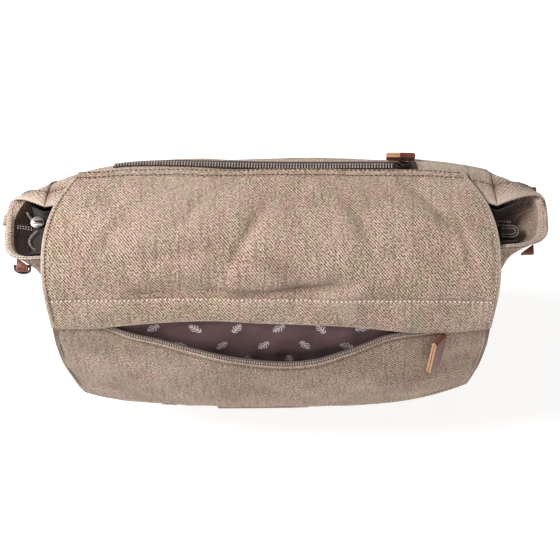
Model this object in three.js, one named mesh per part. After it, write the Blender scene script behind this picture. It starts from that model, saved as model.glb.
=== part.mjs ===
// A washed-canvas portfolio bag with a deep front flap, standing on its base.
// Millimetres. +Z is up, -Y is the front, +X is the right-hand side seen from the front.
// The origin is the middle of the flat underside.

import * as THREE from 'three';

// Body sizes
const rimHeight = 262;
const seamHalfWidth = 180;
const frontBelly = 84;
const backBelly = 75;
const frontCorner = 60;
const sideBulge = 11;
const rimDrop = 14;
const canvas = 1.8;
const rimHem = 2.8;
const fit = 0.3;

// The two ears: how far each stands out past its seam, how wide its mouth is at the seam, and how
// far back its front and back edges swing towards the tip.
const ears = {
  left: { sign: -1, reach: 34, mouthHalf: 24, backCorner: 58, lean: -6, frontSwing: 0, backSwing: 17 },
  right: { sign: 1, reach: 44, mouthHalf: 19.5, backCorner: 68, lean: 0, frontSwing: 5, backSwing: 20 },
};

// Flap sizes, measured along the cloth from the root seam
const flapLength = 312;
const hemRun = 126;
const placketRun = 148;
const placketHang = 11;
const flapOverhang = 13;
const flapHalfWidth = seamHalfWidth + flapOverhang;
const upperWall = 2.6;
const pocketWall = 2.2;
const liningWall = 1.2;
const zipFold = 144;
const mouthSag = 44;
const pocketPuff = 13.6;
const lowerCorners = { left: { rise: 0.035, power: 8 }, right: { rise: 0.12, power: 2.2 } };

// Zip sizes
const tapeWall = 0.8;
const tapeWidth = 4.4;
const tapeSeat = 0.5;
const coilRadius = 1;
const coilUnder = 15;
const closedCoilWidth = 4.6;
const closedCoilWall = 2;
const recess = 14;
const mainZipOff = 9.5;
const panelWall = 1.2;

// Leather and metal trim
const leather = 2;
const pullGap = 0.4;
const flapSlider = { across: 0.745, length: 9 };
const flapPull = { across: 0.765, below: 1.5, length: 44, width: 15, lift: 47, slant: -3, clear: 1 };
const backSlider = { across: 0.59, length: 14, width: 9, wall: 3 };
const backRing = { radius: 5, wire: 0.9 };
const backPull = { behind: 1, length: 25, width: 7, lift: 0.3 };
const mainSlider = { length: 12, width: 11, wall: 4.5 };
const mainEnd = { off: 0.5, width: 13, wall: 2 };
const grabTab = { from: -0.3, to: 0.2, left: 15, right: 11 };
const closureTabs = [
  { name: 'closure_tab_left', from: -0.6, to: -0.52, hang: 6 },
  { name: 'closure_tab_right', from: 0.57, to: 0.65, hang: 3 },
];

// How far the main zip's parts stop short of the tips of the two ears
const shortOfLeft = { panels: 23, slider: 27 };
const shortOfRight = { panels: 29, coil: 31, endFrom: 42, endTo: 25 };

// The strap ring, the fold that holds it, and the other tabs on the ears
const strapRing = { straight: 3, wire: 1.8, drop: 80, clear: 1 };
const frontTabGap = strapRing.wire + 2 * strapRing.clear;
const earTabs = {
  ear_tab_left_front: { side: 'left', round: -0.6, up: 0.95, width: 9, reach: 7.6, straight: 1, tilt: 0 },
  ear_tab_left_back: { side: 'left', round: 0.34, up: 0.975, width: 8, reach: 5, straight: 0.5, tilt: 0.4 },
  ear_tab_right_front: { side: 'right', round: -0.57, up: 0.95, width: 11, reach: 5, straight: 1, tilt: 0 },
  ear_tab_right_back: { side: 'right', round: 0.26, up: 0.95, width: 14.5, reach: 9, straight: 1, tilt: 0 },
  side_loop_left: { side: 'left', round: 0.06, up: 0.985, width: 9, reach: 6, straight: 0, tilt: 0.35 },
};

// The side seams, base to rim. Height is a share of the rim height and seam of the seam's half
// width. Front and back run from the mouth (0) to the full corner (1), and ear is the share of
// the ear's reach. Square says how boxy the back half of the gusset is from above.
const sideRows = [
  { up: 0, height: 0, seam: 0.89, front: 0.62, back: 0.8, ear: 0, square: 3 },
  { up: 0.15, height: 0.145, seam: 0.945, front: 0.84, back: 0.92, ear: 0, square: 3 },
  { up: 0.33, height: 0.335, seam: 0.985, front: 1, back: 1, ear: 0, square: 3 },
  { up: 0.5, height: 0.535, seam: 1, front: 1, back: 1, ear: 0, square: 3 },
  { up: 0.65, height: 0.71, seam: 1, front: 0.93, back: 1, ear: 0, square: 2.8 },
  { up: 0.78, height: 0.832, seam: 1, front: 0.62, back: 1, ear: 0.1, square: 2.2 },
  { up: 0.88, height: 0.916, seam: 1.017, front: 0.22, back: 1, ear: 0.5, square: 1.15 },
  { up: 0.95, height: 0.966, seam: 1.045, front: 0.06, back: 0.8, ear: 0.84, square: 1.08 },
  { up: 0.975, height: 0.987, seam: 1.055, front: 0.02, back: 0.5, ear: 0.93, square: 1.8 },
  { up: 1, height: 1, seam: 1.067, front: 0, back: 0, ear: 1, square: 5 },
];

// The middle of the front and back panels: out is a share of the belly on that side.
const frontRows = [
  { up: 0, out: 0.66, height: 0 },
  { up: 0.15, out: 0.84, height: 0.145 },
  { up: 0.33, out: 0.965, height: 0.335 },
  { up: 0.5, out: 0.995, height: 0.535 },
  { up: 0.65, out: 0.94, height: 0.703 },
  { up: 0.78, out: 0.815, height: 0.817 },
  { up: 0.88, out: 0.62, height: 0.92 },
  { up: 0.95, out: 0.48, height: 0.968 },
  { up: 0.975, out: 0.4, height: 0.99 },
  { up: 1, out: 0.32, height: 1.015 },
];
const backRows = [
  { up: 0, out: 0.74, height: 0 },
  { up: 0.15, out: 0.88, height: 0.145 },
  { up: 0.33, out: 0.97, height: 0.335 },
  { up: 0.5, out: 1, height: 0.535 },
  { up: 0.65, out: 1.01, height: 0.71 },
  { up: 0.78, out: 1.02, height: 0.82 },
  { up: 0.88, out: 1.015, height: 0.9 },
  { up: 0.95, out: 0.95, height: 0.958 },
  { up: 0.975, out: 0.72, height: 0.998 },
  { up: 1, out: 0.36, height: 1.015 },
];

// The bed that the flap's layers lie on, root to lower edge. Run and width are shares of the
// flap's length and half width, heights are shares of the rim height, and y is a share of the
// back belly behind the mouth and of the front belly before it.
const flapRows = [
  { run: 0, midY: 0.7, midZ: 0.986, sideY: 0.676, sideZ: 0.981, width: 0.85 },
  { run: 0.096, midY: 0.295, midZ: 1.008, sideY: 0.286, sideZ: 0.993, width: 0.938 },
  { run: 0.16, midY: 0.036, midZ: 1.023, sideY: 0.04, sideZ: 0.998, width: 0.97 },
  { run: 0.224, midY: -0.186, midZ: 1.02, sideY: -0.19, sideZ: 0.995, width: 0.988 },
  { run: 0.292, midY: -0.404, midZ: 0.996, sideY: -0.408, sideZ: 0.978, width: 0.993 },
  { run: 0.343, midY: -0.538, midZ: 0.966, sideY: -0.54, sideZ: 0.951, width: 0.991 },
  { run: 0.404, midY: -0.658, midZ: 0.913, sideY: -0.655, sideZ: 0.905, width: 0.984 },
  { run: 0.474, midY: -0.798, midZ: 0.846, sideY: -0.785, sideZ: 0.828, width: 0.969 },
  { run: 0.532, midY: -0.881, midZ: 0.785, sideY: -0.825, sideZ: 0.765, width: 0.967 },
  { run: 0.609, midY: -0.965, midZ: 0.7, sideY: -0.845, sideZ: 0.68, width: 0.966 },
  { run: 0.721, midY: -1.008, midZ: 0.57, sideY: -0.857, sideZ: 0.545, width: 0.957 },
  { run: 0.817, midY: -1.022, midZ: 0.458, sideY: -0.86, sideZ: 0.43, width: 0.937 },
  { run: 0.913, midY: -1.018, midZ: 0.345, sideY: -0.85, sideZ: 0.316, width: 0.914 },
  { run: 1, midY: -0.985, midZ: 0.249, sideY: -0.83, sideZ: 0.215, width: 0.885 },
];

// The flap pocket's mouth, left to right in shares of the flap's half width: how far it hangs
// open, and how far the placket edge above it hangs down, as shares of its sag and its hang.
const mouthRows = [
  { across: -1, open: 0, hang: 0.36 },
  { across: -0.82, open: 0.12, hang: 0.5 },
  { across: -0.68, open: 0.42, hang: 0.3 },
  { across: -0.5, open: 0.57, hang: 0 },
  { across: -0.25, open: 0.82, hang: -0.12 },
  { across: -0.02, open: 1, hang: 0.1 },
  { across: 0.14, open: 1, hang: 0.2 },
  { across: 0.36, open: 0.77, hang: 0.4 },
  { across: 0.52, open: 0.56, hang: 0.75 },
  { across: 0.63, open: 0.48, hang: 0.95 },
  { across: 0.74, open: 0.38, hang: 1 },
  { across: 0.86, open: 0.12, hang: 0.85 },
  { across: 1, open: 0, hang: 0.36 },
];

// Soft dents in the flap: across and run place each one, wide and long are its reach, turn is
// its slant in degrees, and deep is its depth in walls of the flap, outwards when negative.
const dents = [
  { across: -0.14, run: 0.24, wide: 0.07, long: 0.16, turn: 30, deep: 1.2 },
  { across: -0.42, run: 0.375, wide: 0.34, long: 0.03, turn: 0, deep: 1 },
  { across: 0.17, run: 0.365, wide: 0.2, long: 0.03, turn: -8, deep: 1.3 },
  { across: -0.02, run: 0.27, wide: 0.16, long: 0.1, turn: 20, deep: -0.7 },
  { across: 0.62, run: 0.3, wide: 0.22, long: 0.06, turn: 0, deep: 0.7 },
];

const clamp = THREE.MathUtils.clamp;
const mix = THREE.MathUtils.lerp;

// One column of a table, read as a smooth curve.
function readTable(rows, key, column, at) {
  let k = 0;
  while (k < rows.length - 2 && at > rows[k + 1][key]) {
    k += 1;
  }
  const slope = (i) => {
    const before = rows[Math.max(i - 1, 0)];
    const after = rows[Math.min(i + 1, rows.length - 1)];
    return (after[column] - before[column]) / (after[key] - before[key]);
  };
  const span = rows[k + 1][key] - rows[k][key];
  const t = clamp((at - rows[k][key]) / span, 0, 1);
  const ease = t * t * (3 - 2 * t);
  const leave = slope(k) * span * t * (1 - t) * (1 - t);
  const arrive = slope(k + 1) * span * t * t * (1 - t);
  return mix(rows[k][column], rows[k + 1][column], ease) + leave - arrive;
}

function evenSteps(from, to, count) {
  return Array.from({ length: count + 1 }, (_, i) => mix(from, to, i / count));
}

// The outward normal of a surface given by two parameters.
function normalOf(surface, u, v) {
  const reach = 0.004;
  const across = surface(u + reach, v).sub(surface(u - reach, v));
  const along = surface(u, v + reach).sub(surface(u, v - reach));
  return across.cross(along).normalize();
}

// A closed body between two grids of points, one on each face of a sheet.
function closedSheet(outer, inner) {
  const rows = outer.length;
  const columns = outer[0].length;
  const points = [...outer.flat(), ...inner.flat()];
  const back = rows * columns;
  const at = (i, j) => i * columns + j;
  const faces = [];
  const quad = (a, b, c, d) => faces.push(a, b, c, a, c, d);
  for (let i = 0; i < rows - 1; i += 1) {
    for (let j = 0; j < columns - 1; j += 1) {
      quad(at(i, j), at(i, j + 1), at(i + 1, j + 1), at(i + 1, j));
      quad(back + at(i, j), back + at(i + 1, j), back + at(i + 1, j + 1), back + at(i, j + 1));
    }
  }
  const edge = (a, b) => quad(a, back + a, back + b, b);
  for (let j = 0; j < columns - 1; j += 1) {
    edge(at(0, j), at(0, j + 1));
    edge(at(rows - 1, j + 1), at(rows - 1, j));
  }
  for (let i = 0; i < rows - 1; i += 1) {
    edge(at(i + 1, 0), at(i, 0));
    edge(at(i, columns - 1), at(i + 1, columns - 1));
  }
  return facingOut(points, faces);
}

// Turns a closed body's faces outwards, whichever way its grid ran.
function facingOut(points, faces) {
  let volume = 0;
  for (let k = 0; k < faces.length; k += 3) {
    const [a, b, c] = [points[faces[k]], points[faces[k + 1]], points[faces[k + 2]]];
    volume += a.dot(b.clone().cross(c));
  }
  const index = volume > 0 ? faces : faces.slice().reverse();
  const geometry = new THREE.BufferGeometry();
  geometry.setFromPoints(points);
  geometry.setIndex(index);
  geometry.computeVertexNormals();
  return geometry;
}

function grid(us, vs, pointAt) {
  return vs.map((v) => us.map((u) => pointAt(u, v)));
}

// The left or right seam line at one height, with the ear that grows from it.
function seamAt(side, up) {
  const ear = ears[side];
  const level = clamp(up, 0, 1);
  const read = (column) => readTable(sideRows, 'up', column, level);
  const lean = ear.lean * level ** 4;
  return {
    x: seamHalfWidth * read('seam'),
    z: rimHeight * read('height'),
    front: lean - mix(ear.mouthHalf, frontCorner, read('front')),
    back: lean + mix(ear.mouthHalf, ear.backCorner, read('back')),
    bulge: mix(sideBulge, ear.reach, read('ear')),
    frontSwing: ear.frontSwing * level ** 4,
    backSwing: ear.backSwing * level ** 8,
    drop: rimDrop * level ** 5,
    square: read('square'),
  };
}

// A gusset, from its front seam (u = -1) round to its back seam (u = 1).
const earSquareness = 3.1;
function gussetSurface(side) {
  return (u, up) => {
    const seam = seamAt(side, up);
    const angle = clamp(u, -1, 1) * Math.PI / 2;
    const power = 2 / (u > 0 ? seam.square : earSquareness);
    const out = Math.max(Math.cos(angle), 0) ** power;
    const turn = Math.sign(angle) * Math.abs(Math.sin(angle)) ** power;
    const share = (turn + 1) / 2;
    const swing = mix(seam.frontSwing, seam.backSwing, share);
    return new THREE.Vector3(
      ears[side].sign * (seam.x + seam.bulge * out),
      mix(seam.front, seam.back, share) + swing * out,
      seam.z - seam.drop * out * out,
    );
  };
}

// The front or back panel, from the left seam (u = -1) to the right seam (u = 1).
// How boxy each panel is from above, in its left and right halves
const panelSquareness = { front: [2.6, 2.6], back: [3.8, 7] };
function panelSurface(facing) {
  const rows = facing === 'front' ? frontRows : backRows;
  const belly = facing === 'front' ? -frontBelly : backBelly;
  return (u, up) => {
    const left = seamAt('left', up);
    const right = seamAt('right', up);
    const across = clamp(u, -1, 1);
    const level = clamp(up, 0, 1);
    const share = (across + 1) / 2;
    const square = panelSquareness[facing][across < 0 ? 0 : 1];
    const crown = 1 - Math.abs(across) ** square;
    const edgeY = mix(left[facing], right[facing], share);
    const edgeZ = mix(left.z, right.z, share);
    const midY = belly * readTable(rows, 'up', 'out', level);
    const midZ = rimHeight * readTable(rows, 'up', 'height', level);
    return new THREE.Vector3(
      mix(-left.x, right.x, share),
      mix(edgeY, midY, crown),
      mix(edgeZ, midZ, crown),
    );
  };
}

const surfaces = {
  front: panelSurface('front'),
  back: panelSurface('back'),
  left: gussetSurface('left'),
  right: gussetSurface('right'),
};

// Outward normals of the four walls. The grid of each wall runs its own way round.
const windings = { front: 1, back: -1, left: -1, right: 1 };
function wallNormal(wall, u, up) {
  const normal = normalOf(surfaces[wall], u, up).multiplyScalar(windings[wall]);
  if (up === 0) {
    normal.z = 0;
    normal.normalize();
  }
  return normal;
}

// The neighbour that each wall meets at its two upright seams, and where on that neighbour.
const neighbours = {
  front: { '-1': ['left', -1], 1: ['right', -1] },
  back: { '-1': ['left', 1], 1: ['right', 1] },
  left: { '-1': ['front', -1], 1: ['back', -1] },
  right: { '-1': ['front', 1], 1: ['back', 1] },
};

// The way from the outer to the inner face, mitred where two walls meet.
function inwards(wall, u, up, wide) {
  const normal = wallNormal(wall, u, up);
  const end = Math.abs(u) === 1 ? neighbours[wall][u] : null;
  if (!end) {
    return normal.multiplyScalar(-wide);
  }
  const other = wallNormal(end[0], end[1], up);
  const spread = 1 + normal.dot(other);
  return normal.add(other).multiplyScalar(-wide / spread);
}

const bodyUps = [0, 0.08, 0.16, 0.25, 0.35, 0.45, 0.55, 0.65, 0.73, 0.8, 0.86, 0.91, 0.95];
bodyUps.push(0.9625, 0.975, 1);
const hemStart = 0.96;

function wallBody(wall, count) {
  const surface = surfaces[wall];
  const us = evenSteps(-1, 1, count);
  const seamShift = (u, up) => {
    const inside = surface(u * (1 - 1 / count), up).sub(surface(u, up));
    return inside.setLength(fit);
  };
  const outerAt = (u, up) => {
    const point = surface(u, up);
    return Math.abs(u) === 1 ? point.add(seamShift(u, up)) : point;
  };
  const innerAt = (u, up) => {
    const wide = up > hemStart ? rimHem : canvas;
    return outerAt(u, up).add(inwards(wall, u, up, wide));
  };
  return closedSheet(grid(us, bodyUps, outerAt), grid(us, bodyUps, innerAt));
}

const panelColumns = 18;
const gussetColumns = 12;

// The base lies between the lower edges of the four walls.
function baseBody() {
  const outline = [];
  const trace = (wall, from, to, count) => {
    evenSteps(from, to, count).slice(0, -1).forEach((u) => {
      const inset = inwards(wall, u, 0, canvas + fit);
      const point = surfaces[wall](u, 0).add(inset);
      outline.push(new THREE.Vector2(point.x, point.y));
    });
  };
  trace('front', -1, 1, panelColumns);
  trace('right', -1, 1, gussetColumns);
  trace('back', 1, -1, panelColumns);
  trace('left', 1, -1, gussetColumns);
  const shape = new THREE.Shape(outline);
  return new THREE.ExtrudeGeometry(shape, { depth: canvas, bevelEnabled: false });
}

// The flap's layers, measured outwards from its bed
const liningFront = fit + liningWall;
const pocketBack = liningFront + fit;
const pocketFront = pocketBack + pocketWall;
const upperBack = pocketFront + 2 * fit;
const upperFront = upperBack + upperWall;

function dentDepth(across, share) {
  let depth = 0;
  dents.forEach((dent) => {
    const turn = THREE.MathUtils.degToRad(dent.turn);
    const dx = (across - dent.across) * flapHalfWidth;
    const ds = (share - dent.run) * flapLength;
    const wide = (dx * Math.cos(turn) + ds * Math.sin(turn)) / (dent.wide * flapHalfWidth);
    const long = (ds * Math.cos(turn) - dx * Math.sin(turn)) / (dent.long * flapLength);
    depth += dent.deep * upperWall * Math.exp(-wide * wide - long * long);
  });
  return depth;
}

const flapSquareness = 3;
function flapBed(u, share) {
  const run = clamp(share, 0, 1);
  const across = clamp(u, -1, 1);
  const read = (column) => readTable(flapRows, 'run', column, run);
  const side = Math.abs(across) ** flapSquareness;
  const y = mix(read('midY'), read('sideY'), side);
  const z = mix(read('midZ'), read('sideZ'), side);
  const belly = y > 0 ? backBelly : frontBelly;
  return new THREE.Vector3(across * flapHalfWidth * read('width'), y * belly, z * rimHeight);
}

function flapPoint(u, run, level) {
  const share = run / flapLength;
  const normal = normalOf(flapBed, u, share).multiplyScalar(-1);
  return flapBed(u, share).addScaledVector(normal, level - dentDepth(u, share));
}

// The lower edge rises to the two rounded corners, more to the right one.
function lastRun(u) {
  const { rise, power } = lowerCorners[u < 0 ? 'left' : 'right'];
  return flapLength * (1 - rise * Math.abs(u) ** power);
}

function mouthOpen(u) {
  return Math.max(readTable(mouthRows, 'across', 'open', u), 0);
}

// The placket edge hangs a little lower to the right and at the left corner.
function placketEdge(u) {
  return placketRun + placketHang * readTable(mouthRows, 'across', 'hang', u);
}

// The upper edge of the pocket panel hangs down where the mouth is open.
function pocketTop(u) {
  return zipFold + mouthSag * mouthOpen(u);
}

// How far the pocket panel stands off the lining.
const lipRise = 0.6;
function pocketStandOff(u, run) {
  const clear = pocketTop(u) - tapeWidth - 4 * coilRadius - placketEdge(u);
  const lip = clamp(clear / (mouthSag * lipRise), 0, 1);
  const broad = 1 - Math.abs(u) ** 2.5;
  const below = clamp((run - placketEdge(u) - upperWall) / (mouthSag * 1.6), 0, 1);
  const side = mix(lip, Math.max(lip, broad), below * below);
  const falling = clamp((run - placketRun - mouthSag) / (flapLength - placketRun - mouthSag), 0, 1);
  return pocketPuff * side * (1 - falling ** 3);
}

const flapColumns = evenSteps(-1, 1, 20);
const hemToFold = mix(hemRun, zipFold, 0.5);
const upperRuns = [...evenSteps(0, hemRun, 11), hemToFold, zipFold, 'edge'];
const lowerShares = [0, 0.06, 0.13, 0.21, 0.3, 0.4, 0.5, 0.6, 0.7, 0.8, 0.88, 0.95, 1];

function flapUpperBody() {
  const runAt = (u, run) => (run === 'edge' ? placketEdge(u) : run);
  const outer = grid(flapColumns, upperRuns, (u, run) => flapPoint(u, runAt(u, run), upperFront));
  const inner = grid(flapColumns, upperRuns, (u, run) => flapPoint(u, runAt(u, run), upperBack));
  return closedSheet(outer, inner);
}

function flapLiningBody() {
  const rows = [hemRun + liningWall, hemToFold, ...lowerShares.map((share) => share - 1)];
  const runAt = (u, row) => (row > 0 ? row : mix(zipFold, lastRun(u), row + 1));
  const outer = grid(flapColumns, rows, (u, row) => flapPoint(u, runAt(u, row), liningFront));
  const inner = grid(flapColumns, rows, (u, row) => flapPoint(u, runAt(u, row), fit));
  return closedSheet(outer, inner);
}

function flapPocketBody() {
  const at = (level) => (u, share) => {
    const run = mix(pocketTop(u), lastRun(u), share);
    return flapPoint(u, run, level + pocketStandOff(u, run));
  };
  const outer = grid(flapColumns, lowerShares, at(pocketFront));
  const inner = grid(flapColumns, lowerShares, at(pocketBack));
  return closedSheet(outer, inner);
}

// The flap pocket's zip. Its lower half follows the sagging edge and its upper half the placket.
const pocketZip = flapColumns.filter((u) => u > -0.85 && u < 0.75);
const lowerCoilRun = (u) => pocketTop(u) - tapeWidth - 2 * fit - coilRadius;
const upperCoilRun = (u) => placketEdge(u) - coilUnder;

function lowerTapeBody() {
  const at = (level) => (u, row) => {
    const run = pocketTop(u) - fit - row * tapeWidth;
    return flapPoint(u, run, level + pocketStandOff(u, pocketTop(u)));
  };
  const rows = [0, 0.5, 1];
  return closedSheet(
    grid(pocketZip, rows, at(pocketBack + tapeWall)),
    grid(pocketZip, rows, at(pocketBack)),
  );
}

function upperTapeBody() {
  const at = (level) => (u, row) => {
    return flapPoint(u, upperCoilRun(u) - coilRadius - fit - row * tapeWidth, level);
  };
  const outer = grid(pocketZip, [0, 1], at(upperBack - fit));
  const inner = grid(pocketZip, [0, 1], at(upperBack - fit - tapeWall));
  return closedSheet(outer, inner);
}

// A tube of six sides along points.
function tubeAlong(points, radius, steps) {
  const ring = evenSteps(0, 2 * Math.PI, 6).slice(0, -1);
  const section = ring.map((a) => new THREE.Vector2(Math.cos(a), Math.sin(a)).multiplyScalar(radius));
  return new THREE.ExtrudeGeometry(new THREE.Shape(section), {
    steps,
    extrudePath: new THREE.CatmullRomCurve3(points),
  });
}

const coilLevel = pocketBack + pocketWall / 2;
function lowerCoilBody() {
  const points = pocketZip.map((u) => {
    return flapPoint(u, lowerCoilRun(u), coilLevel + pocketStandOff(u, pocketTop(u)));
  });
  return tubeAlong(points, coilRadius, 32);
}

function upperCoilBody() {
  const points = pocketZip.map((u) => flapPoint(u, upperCoilRun(u), coilLevel));
  return tubeAlong(points, coilRadius, 24);
}

// The flap slider lies under the placket, where the two coils meet.
function flapSliderBody() {
  const middle = flapSlider.across;
  const reach = flapSlider.length / 2 / flapHalfWidth;
  const us = [middle - reach, middle + reach];
  const at = (level) => (u, row) => {
    return flapPoint(u, mix(upperCoilRun(middle), lowerCoilRun(middle), row), level);
  };
  const outer = grid(us, [0, 1], at(coilLevel + coilRadius - fit));
  return closedSheet(outer, grid(us, [0, 1], at(coilLevel - coilRadius + fit)));
}

// A leather strip folded in two, as a U: the legs run along X from the fold and lie over each
// other in Y, with a gap between them.
function foldedStrip(length, width, gap) {
  const half = leather + gap / 2;
  const shape = new THREE.Shape();
  shape.moveTo(length, -half);
  shape.lineTo(half, -half);
  shape.absarc(half, 0, half, -Math.PI / 2, Math.PI / 2, true);
  shape.lineTo(length, half);
  shape.lineTo(length, half - leather);
  shape.lineTo(half, half - leather);
  shape.absarc(half, 0, half - leather, Math.PI / 2, -Math.PI / 2, false);
  shape.lineTo(length, leather - half);
  const options = { depth: width, bevelEnabled: false, curveSegments: 5 };
  return new THREE.ExtrudeGeometry(shape, options).translate(0, 0, -width / 2);
}

// Lays a piece made along X and Y in a frame: its X along `along`, its Y along `out`.
function placeIn(geometry, origin, along, out) {
  const x = along.clone().normalize();
  const z = x.clone().cross(out).normalize();
  const y = z.clone().cross(x);
  const frame = new THREE.Matrix4().makeBasis(x, y, z).setPosition(origin);
  return geometry.applyMatrix4(frame);
}

function flapPullBody() {
  const half = leather + pullGap / 2;
  const run = placketEdge(flapPull.across) + flapPull.below;
  const surfaceAt = (length) => {
    const u = flapPull.across + flapPull.slant * length / flapPull.length / flapHalfWidth;
    return flapPoint(u, run + length, pocketFront + pocketStandOff(u, run + length));
  };
  const top = surfaceAt(0);
  const along = surfaceAt(flapPull.length).sub(top);
  const tilt = THREE.MathUtils.degToRad(flapPull.lift);
  const face = normalOf(flapBed, flapPull.across, run / flapLength).multiplyScalar(-1);
  const out = face.clone().applyAxisAngle(along.clone().normalize(), -tilt);
  const middle = surfaceAt(flapPull.length / 2).sub(top).dot(face);
  const stand = half * Math.cos(tilt) + Math.sin(tilt) * flapPull.width / 2 + middle + flapPull.clear;
  const origin = top.addScaledVector(face, stand);
  return placeIn(foldedStrip(flapPull.length, flapPull.width, pullGap), origin, along, out);
}

// The back zip lies on the back panel just behind the flap's root.
const backZipRows = [
  { across: -0.72, up: 0.9605 },
  { across: -0.5, up: 0.9655 },
  { across: -0.2, up: 0.9705 },
  { across: 0.1, up: 0.9722 },
  { across: 0.8, up: 0.9712 },
];
const backZip = evenSteps(-0.72, 0.66, 16);
const upPerMm = 0.3275 / rimHeight;
function onBack(u, offset, level) {
  const up = readTable(backZipRows, 'across', 'up', u) + offset * upPerMm;
  return surfaces.back(u, up).addScaledVector(wallNormal('back', u, up), level);
}

function backStrip(us, from, to, layer) {
  const rows = [from, (from + to) / 2, to];
  const outer = grid(us, rows, (u, offset) => onBack(u, offset, layer.high));
  const inner = grid(us, rows, (u, offset) => onBack(u, offset, layer.low));
  return closedSheet(outer, inner);
}

const backTape = { low: tapeSeat, high: tapeSeat + tapeWall };
const backCoil = { low: backTape.high + fit, high: backTape.high + fit + closedCoilWall };

// A zip slider: a shield-shaped body, pointing along X and facing Y.
function sliderBody(length, width, wall) {
  const shape = new THREE.Shape();
  shape.moveTo(-length / 2, -width / 4);
  shape.lineTo(length / 4, -width / 2);
  shape.lineTo(length / 2, -width / 3);
  shape.lineTo(length / 2, width / 3);
  shape.lineTo(length / 4, width / 2);
  shape.lineTo(-length / 2, width / 4);
  const options = { depth: wall, bevelEnabled: false };
  return new THREE.ExtrudeGeometry(shape, options).rotateX(-Math.PI / 2);
}

// The back slider sits at the closed coil's right end, with its ring and pull behind it.
const backStop = backSlider.across - (backSlider.length / 2 + fit) / seamHalfWidth;
const backCoilZip = evenSteps(-0.72, backStop, 16);
function backFrame(offset, level) {
  const u = backSlider.across;
  const origin = onBack(u, offset, level);
  const along = onBack(u + 0.02, offset, level).sub(onBack(u - 0.02, offset, level)).normalize();
  const out = origin.clone().sub(onBack(u, offset, level - 1)).normalize();
  return { origin, along, out };
}

function backSliderBody() {
  const body = sliderBody(backSlider.length, backSlider.width, backSlider.wall);
  const { origin, along, out } = backFrame(0, backTape.high + 2 * fit);
  return placeIn(body, origin, along, out);
}

// The ring lies flat over the slider's right half.
function backRingBody() {
  const body = new THREE.TorusGeometry(backRing.radius, backRing.wire, 6, 14);
  body.rotateX(Math.PI / 2);
  const level = backTape.high + backSlider.wall + backRing.wire + 4 * fit;
  const { origin, along, out } = backFrame(0, level);
  origin.addScaledVector(along, backRing.radius / 2);
  return placeIn(body, origin, along, out);
}

// The back pull stands upright on edge behind the zip, its fold to the right and its two ends to
// the left.
function backPullBody() {
  const reach = backRing.radius + backRing.wire + leather;
  const { origin, along, out } = backFrame(-reach - backPull.behind, 0);
  const side = along.clone().cross(new THREE.Vector3(0, 0, 1)).normalize();
  const upright = side.clone().cross(along);
  const foot = backPull.width / 2 * upright.dot(out) + (leather + pullGap / 2) * Math.abs(side.dot(out));
  origin.addScaledVector(along, backPull.length / 2);
  origin.addScaledVector(out, foot + backPull.lift);
  const body = foldedStrip(backPull.length, backPull.width, pullGap);
  return placeIn(body, origin, along.negate(), side);
}

// The two panels that close the mouth: each drops from the rim and turns in to the main zip.
function rimInside(x, facing) {
  const side = x < 0 ? 'left' : 'right';
  const seam = seamAt(side, 1);
  const over = (Math.abs(x) - seam.x) / seam.bulge;
  const sign = facing === 'front' ? -1 : 1;
  const square = facing === 'front' ? earSquareness : seam.square;
  if (over <= 0) {
    const left = seamAt('left', 1).x;
    const right = seamAt('right', 1).x;
    const u = 2 * (x + left) / (left + right) - 1;
    return surfaces[facing](u, 1);
  }
  const turn = sign * (1 - Math.min(over, 1) ** square) ** (1 / square);
  const share = (turn + 1) / 2;
  const y = mix(seam.front, seam.back, share) + mix(seam.frontSwing, seam.backSwing, share) * over;
  return new THREE.Vector3(x, y, seam.z - seam.drop * over * over);
}

const earTip = (side) => seamAt(side, 1).x + ears[side].reach;
const leftTip = -earTip('left');
const rightTip = earTip('right');
const mainZip = evenSteps(leftTip + shortOfLeft.panels, rightTip - shortOfRight.panels, 18);
const mainSliderAt = leftTip + shortOfLeft.slider;
const mainCoilFrom = mainSliderAt + mainSlider.length / 2 + fit;
const mainCoilZip = evenSteps(mainCoilFrom, rightTip - shortOfRight.coil, 16);
const zipSection = [
  { across: 0, down: 0.1 },
  { across: 0.04, down: 0.75 },
  { across: 0.2, down: 1 },
  { across: 1, down: 1.08 },
];
function mainPanelBody(facing) {
  const inward = facing === 'front' ? 1 : -1;
  const edge = mainZipOff - inward * (closedCoilWidth / 2 + fit);
  const at = (shift) => (x, row) => {
    const rim = rimInside(x, facing);
    const start = rim.y + inward * (rimHem + 5 * fit);
    const z = rim.z - recess * row.down;
    const y = mix(start, edge, row.across);
    return new THREE.Vector3(x, y + shift * inward * (1 - row.across), z + shift);
  };
  return closedSheet(grid(mainZip, zipSection, at(panelWall)), grid(mainZip, zipSection, at(0)));
}

const zipDepth = zipSection[zipSection.length - 1].down;
const mainZipHeight = (x) => {
  return (rimInside(x, 'front').z + rimInside(x, 'back').z) / 2 - recess * zipDepth;
};

function mainCoilBody() {
  const rows = [-1, 1];
  const at = (level) => (x, row) => {
    const y = mainZipOff + row * closedCoilWidth / 2;
    return new THREE.Vector3(x, y, mainZipHeight(x) + level);
  };
  return closedSheet(grid(mainCoilZip, rows, at(closedCoilWall)), grid(mainCoilZip, rows, at(0)));
}

function mainSliderBody() {
  const body = sliderBody(mainSlider.length, mainSlider.width, mainSlider.wall);
  const height = mainZipHeight(mainSliderAt) + panelWall + 2 * fit;
  const origin = new THREE.Vector3(mainSliderAt, mainZipOff, height);
  return placeIn(body, origin, new THREE.Vector3(-1, 0, 0), new THREE.Vector3(0, 0, 1));
}

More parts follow.
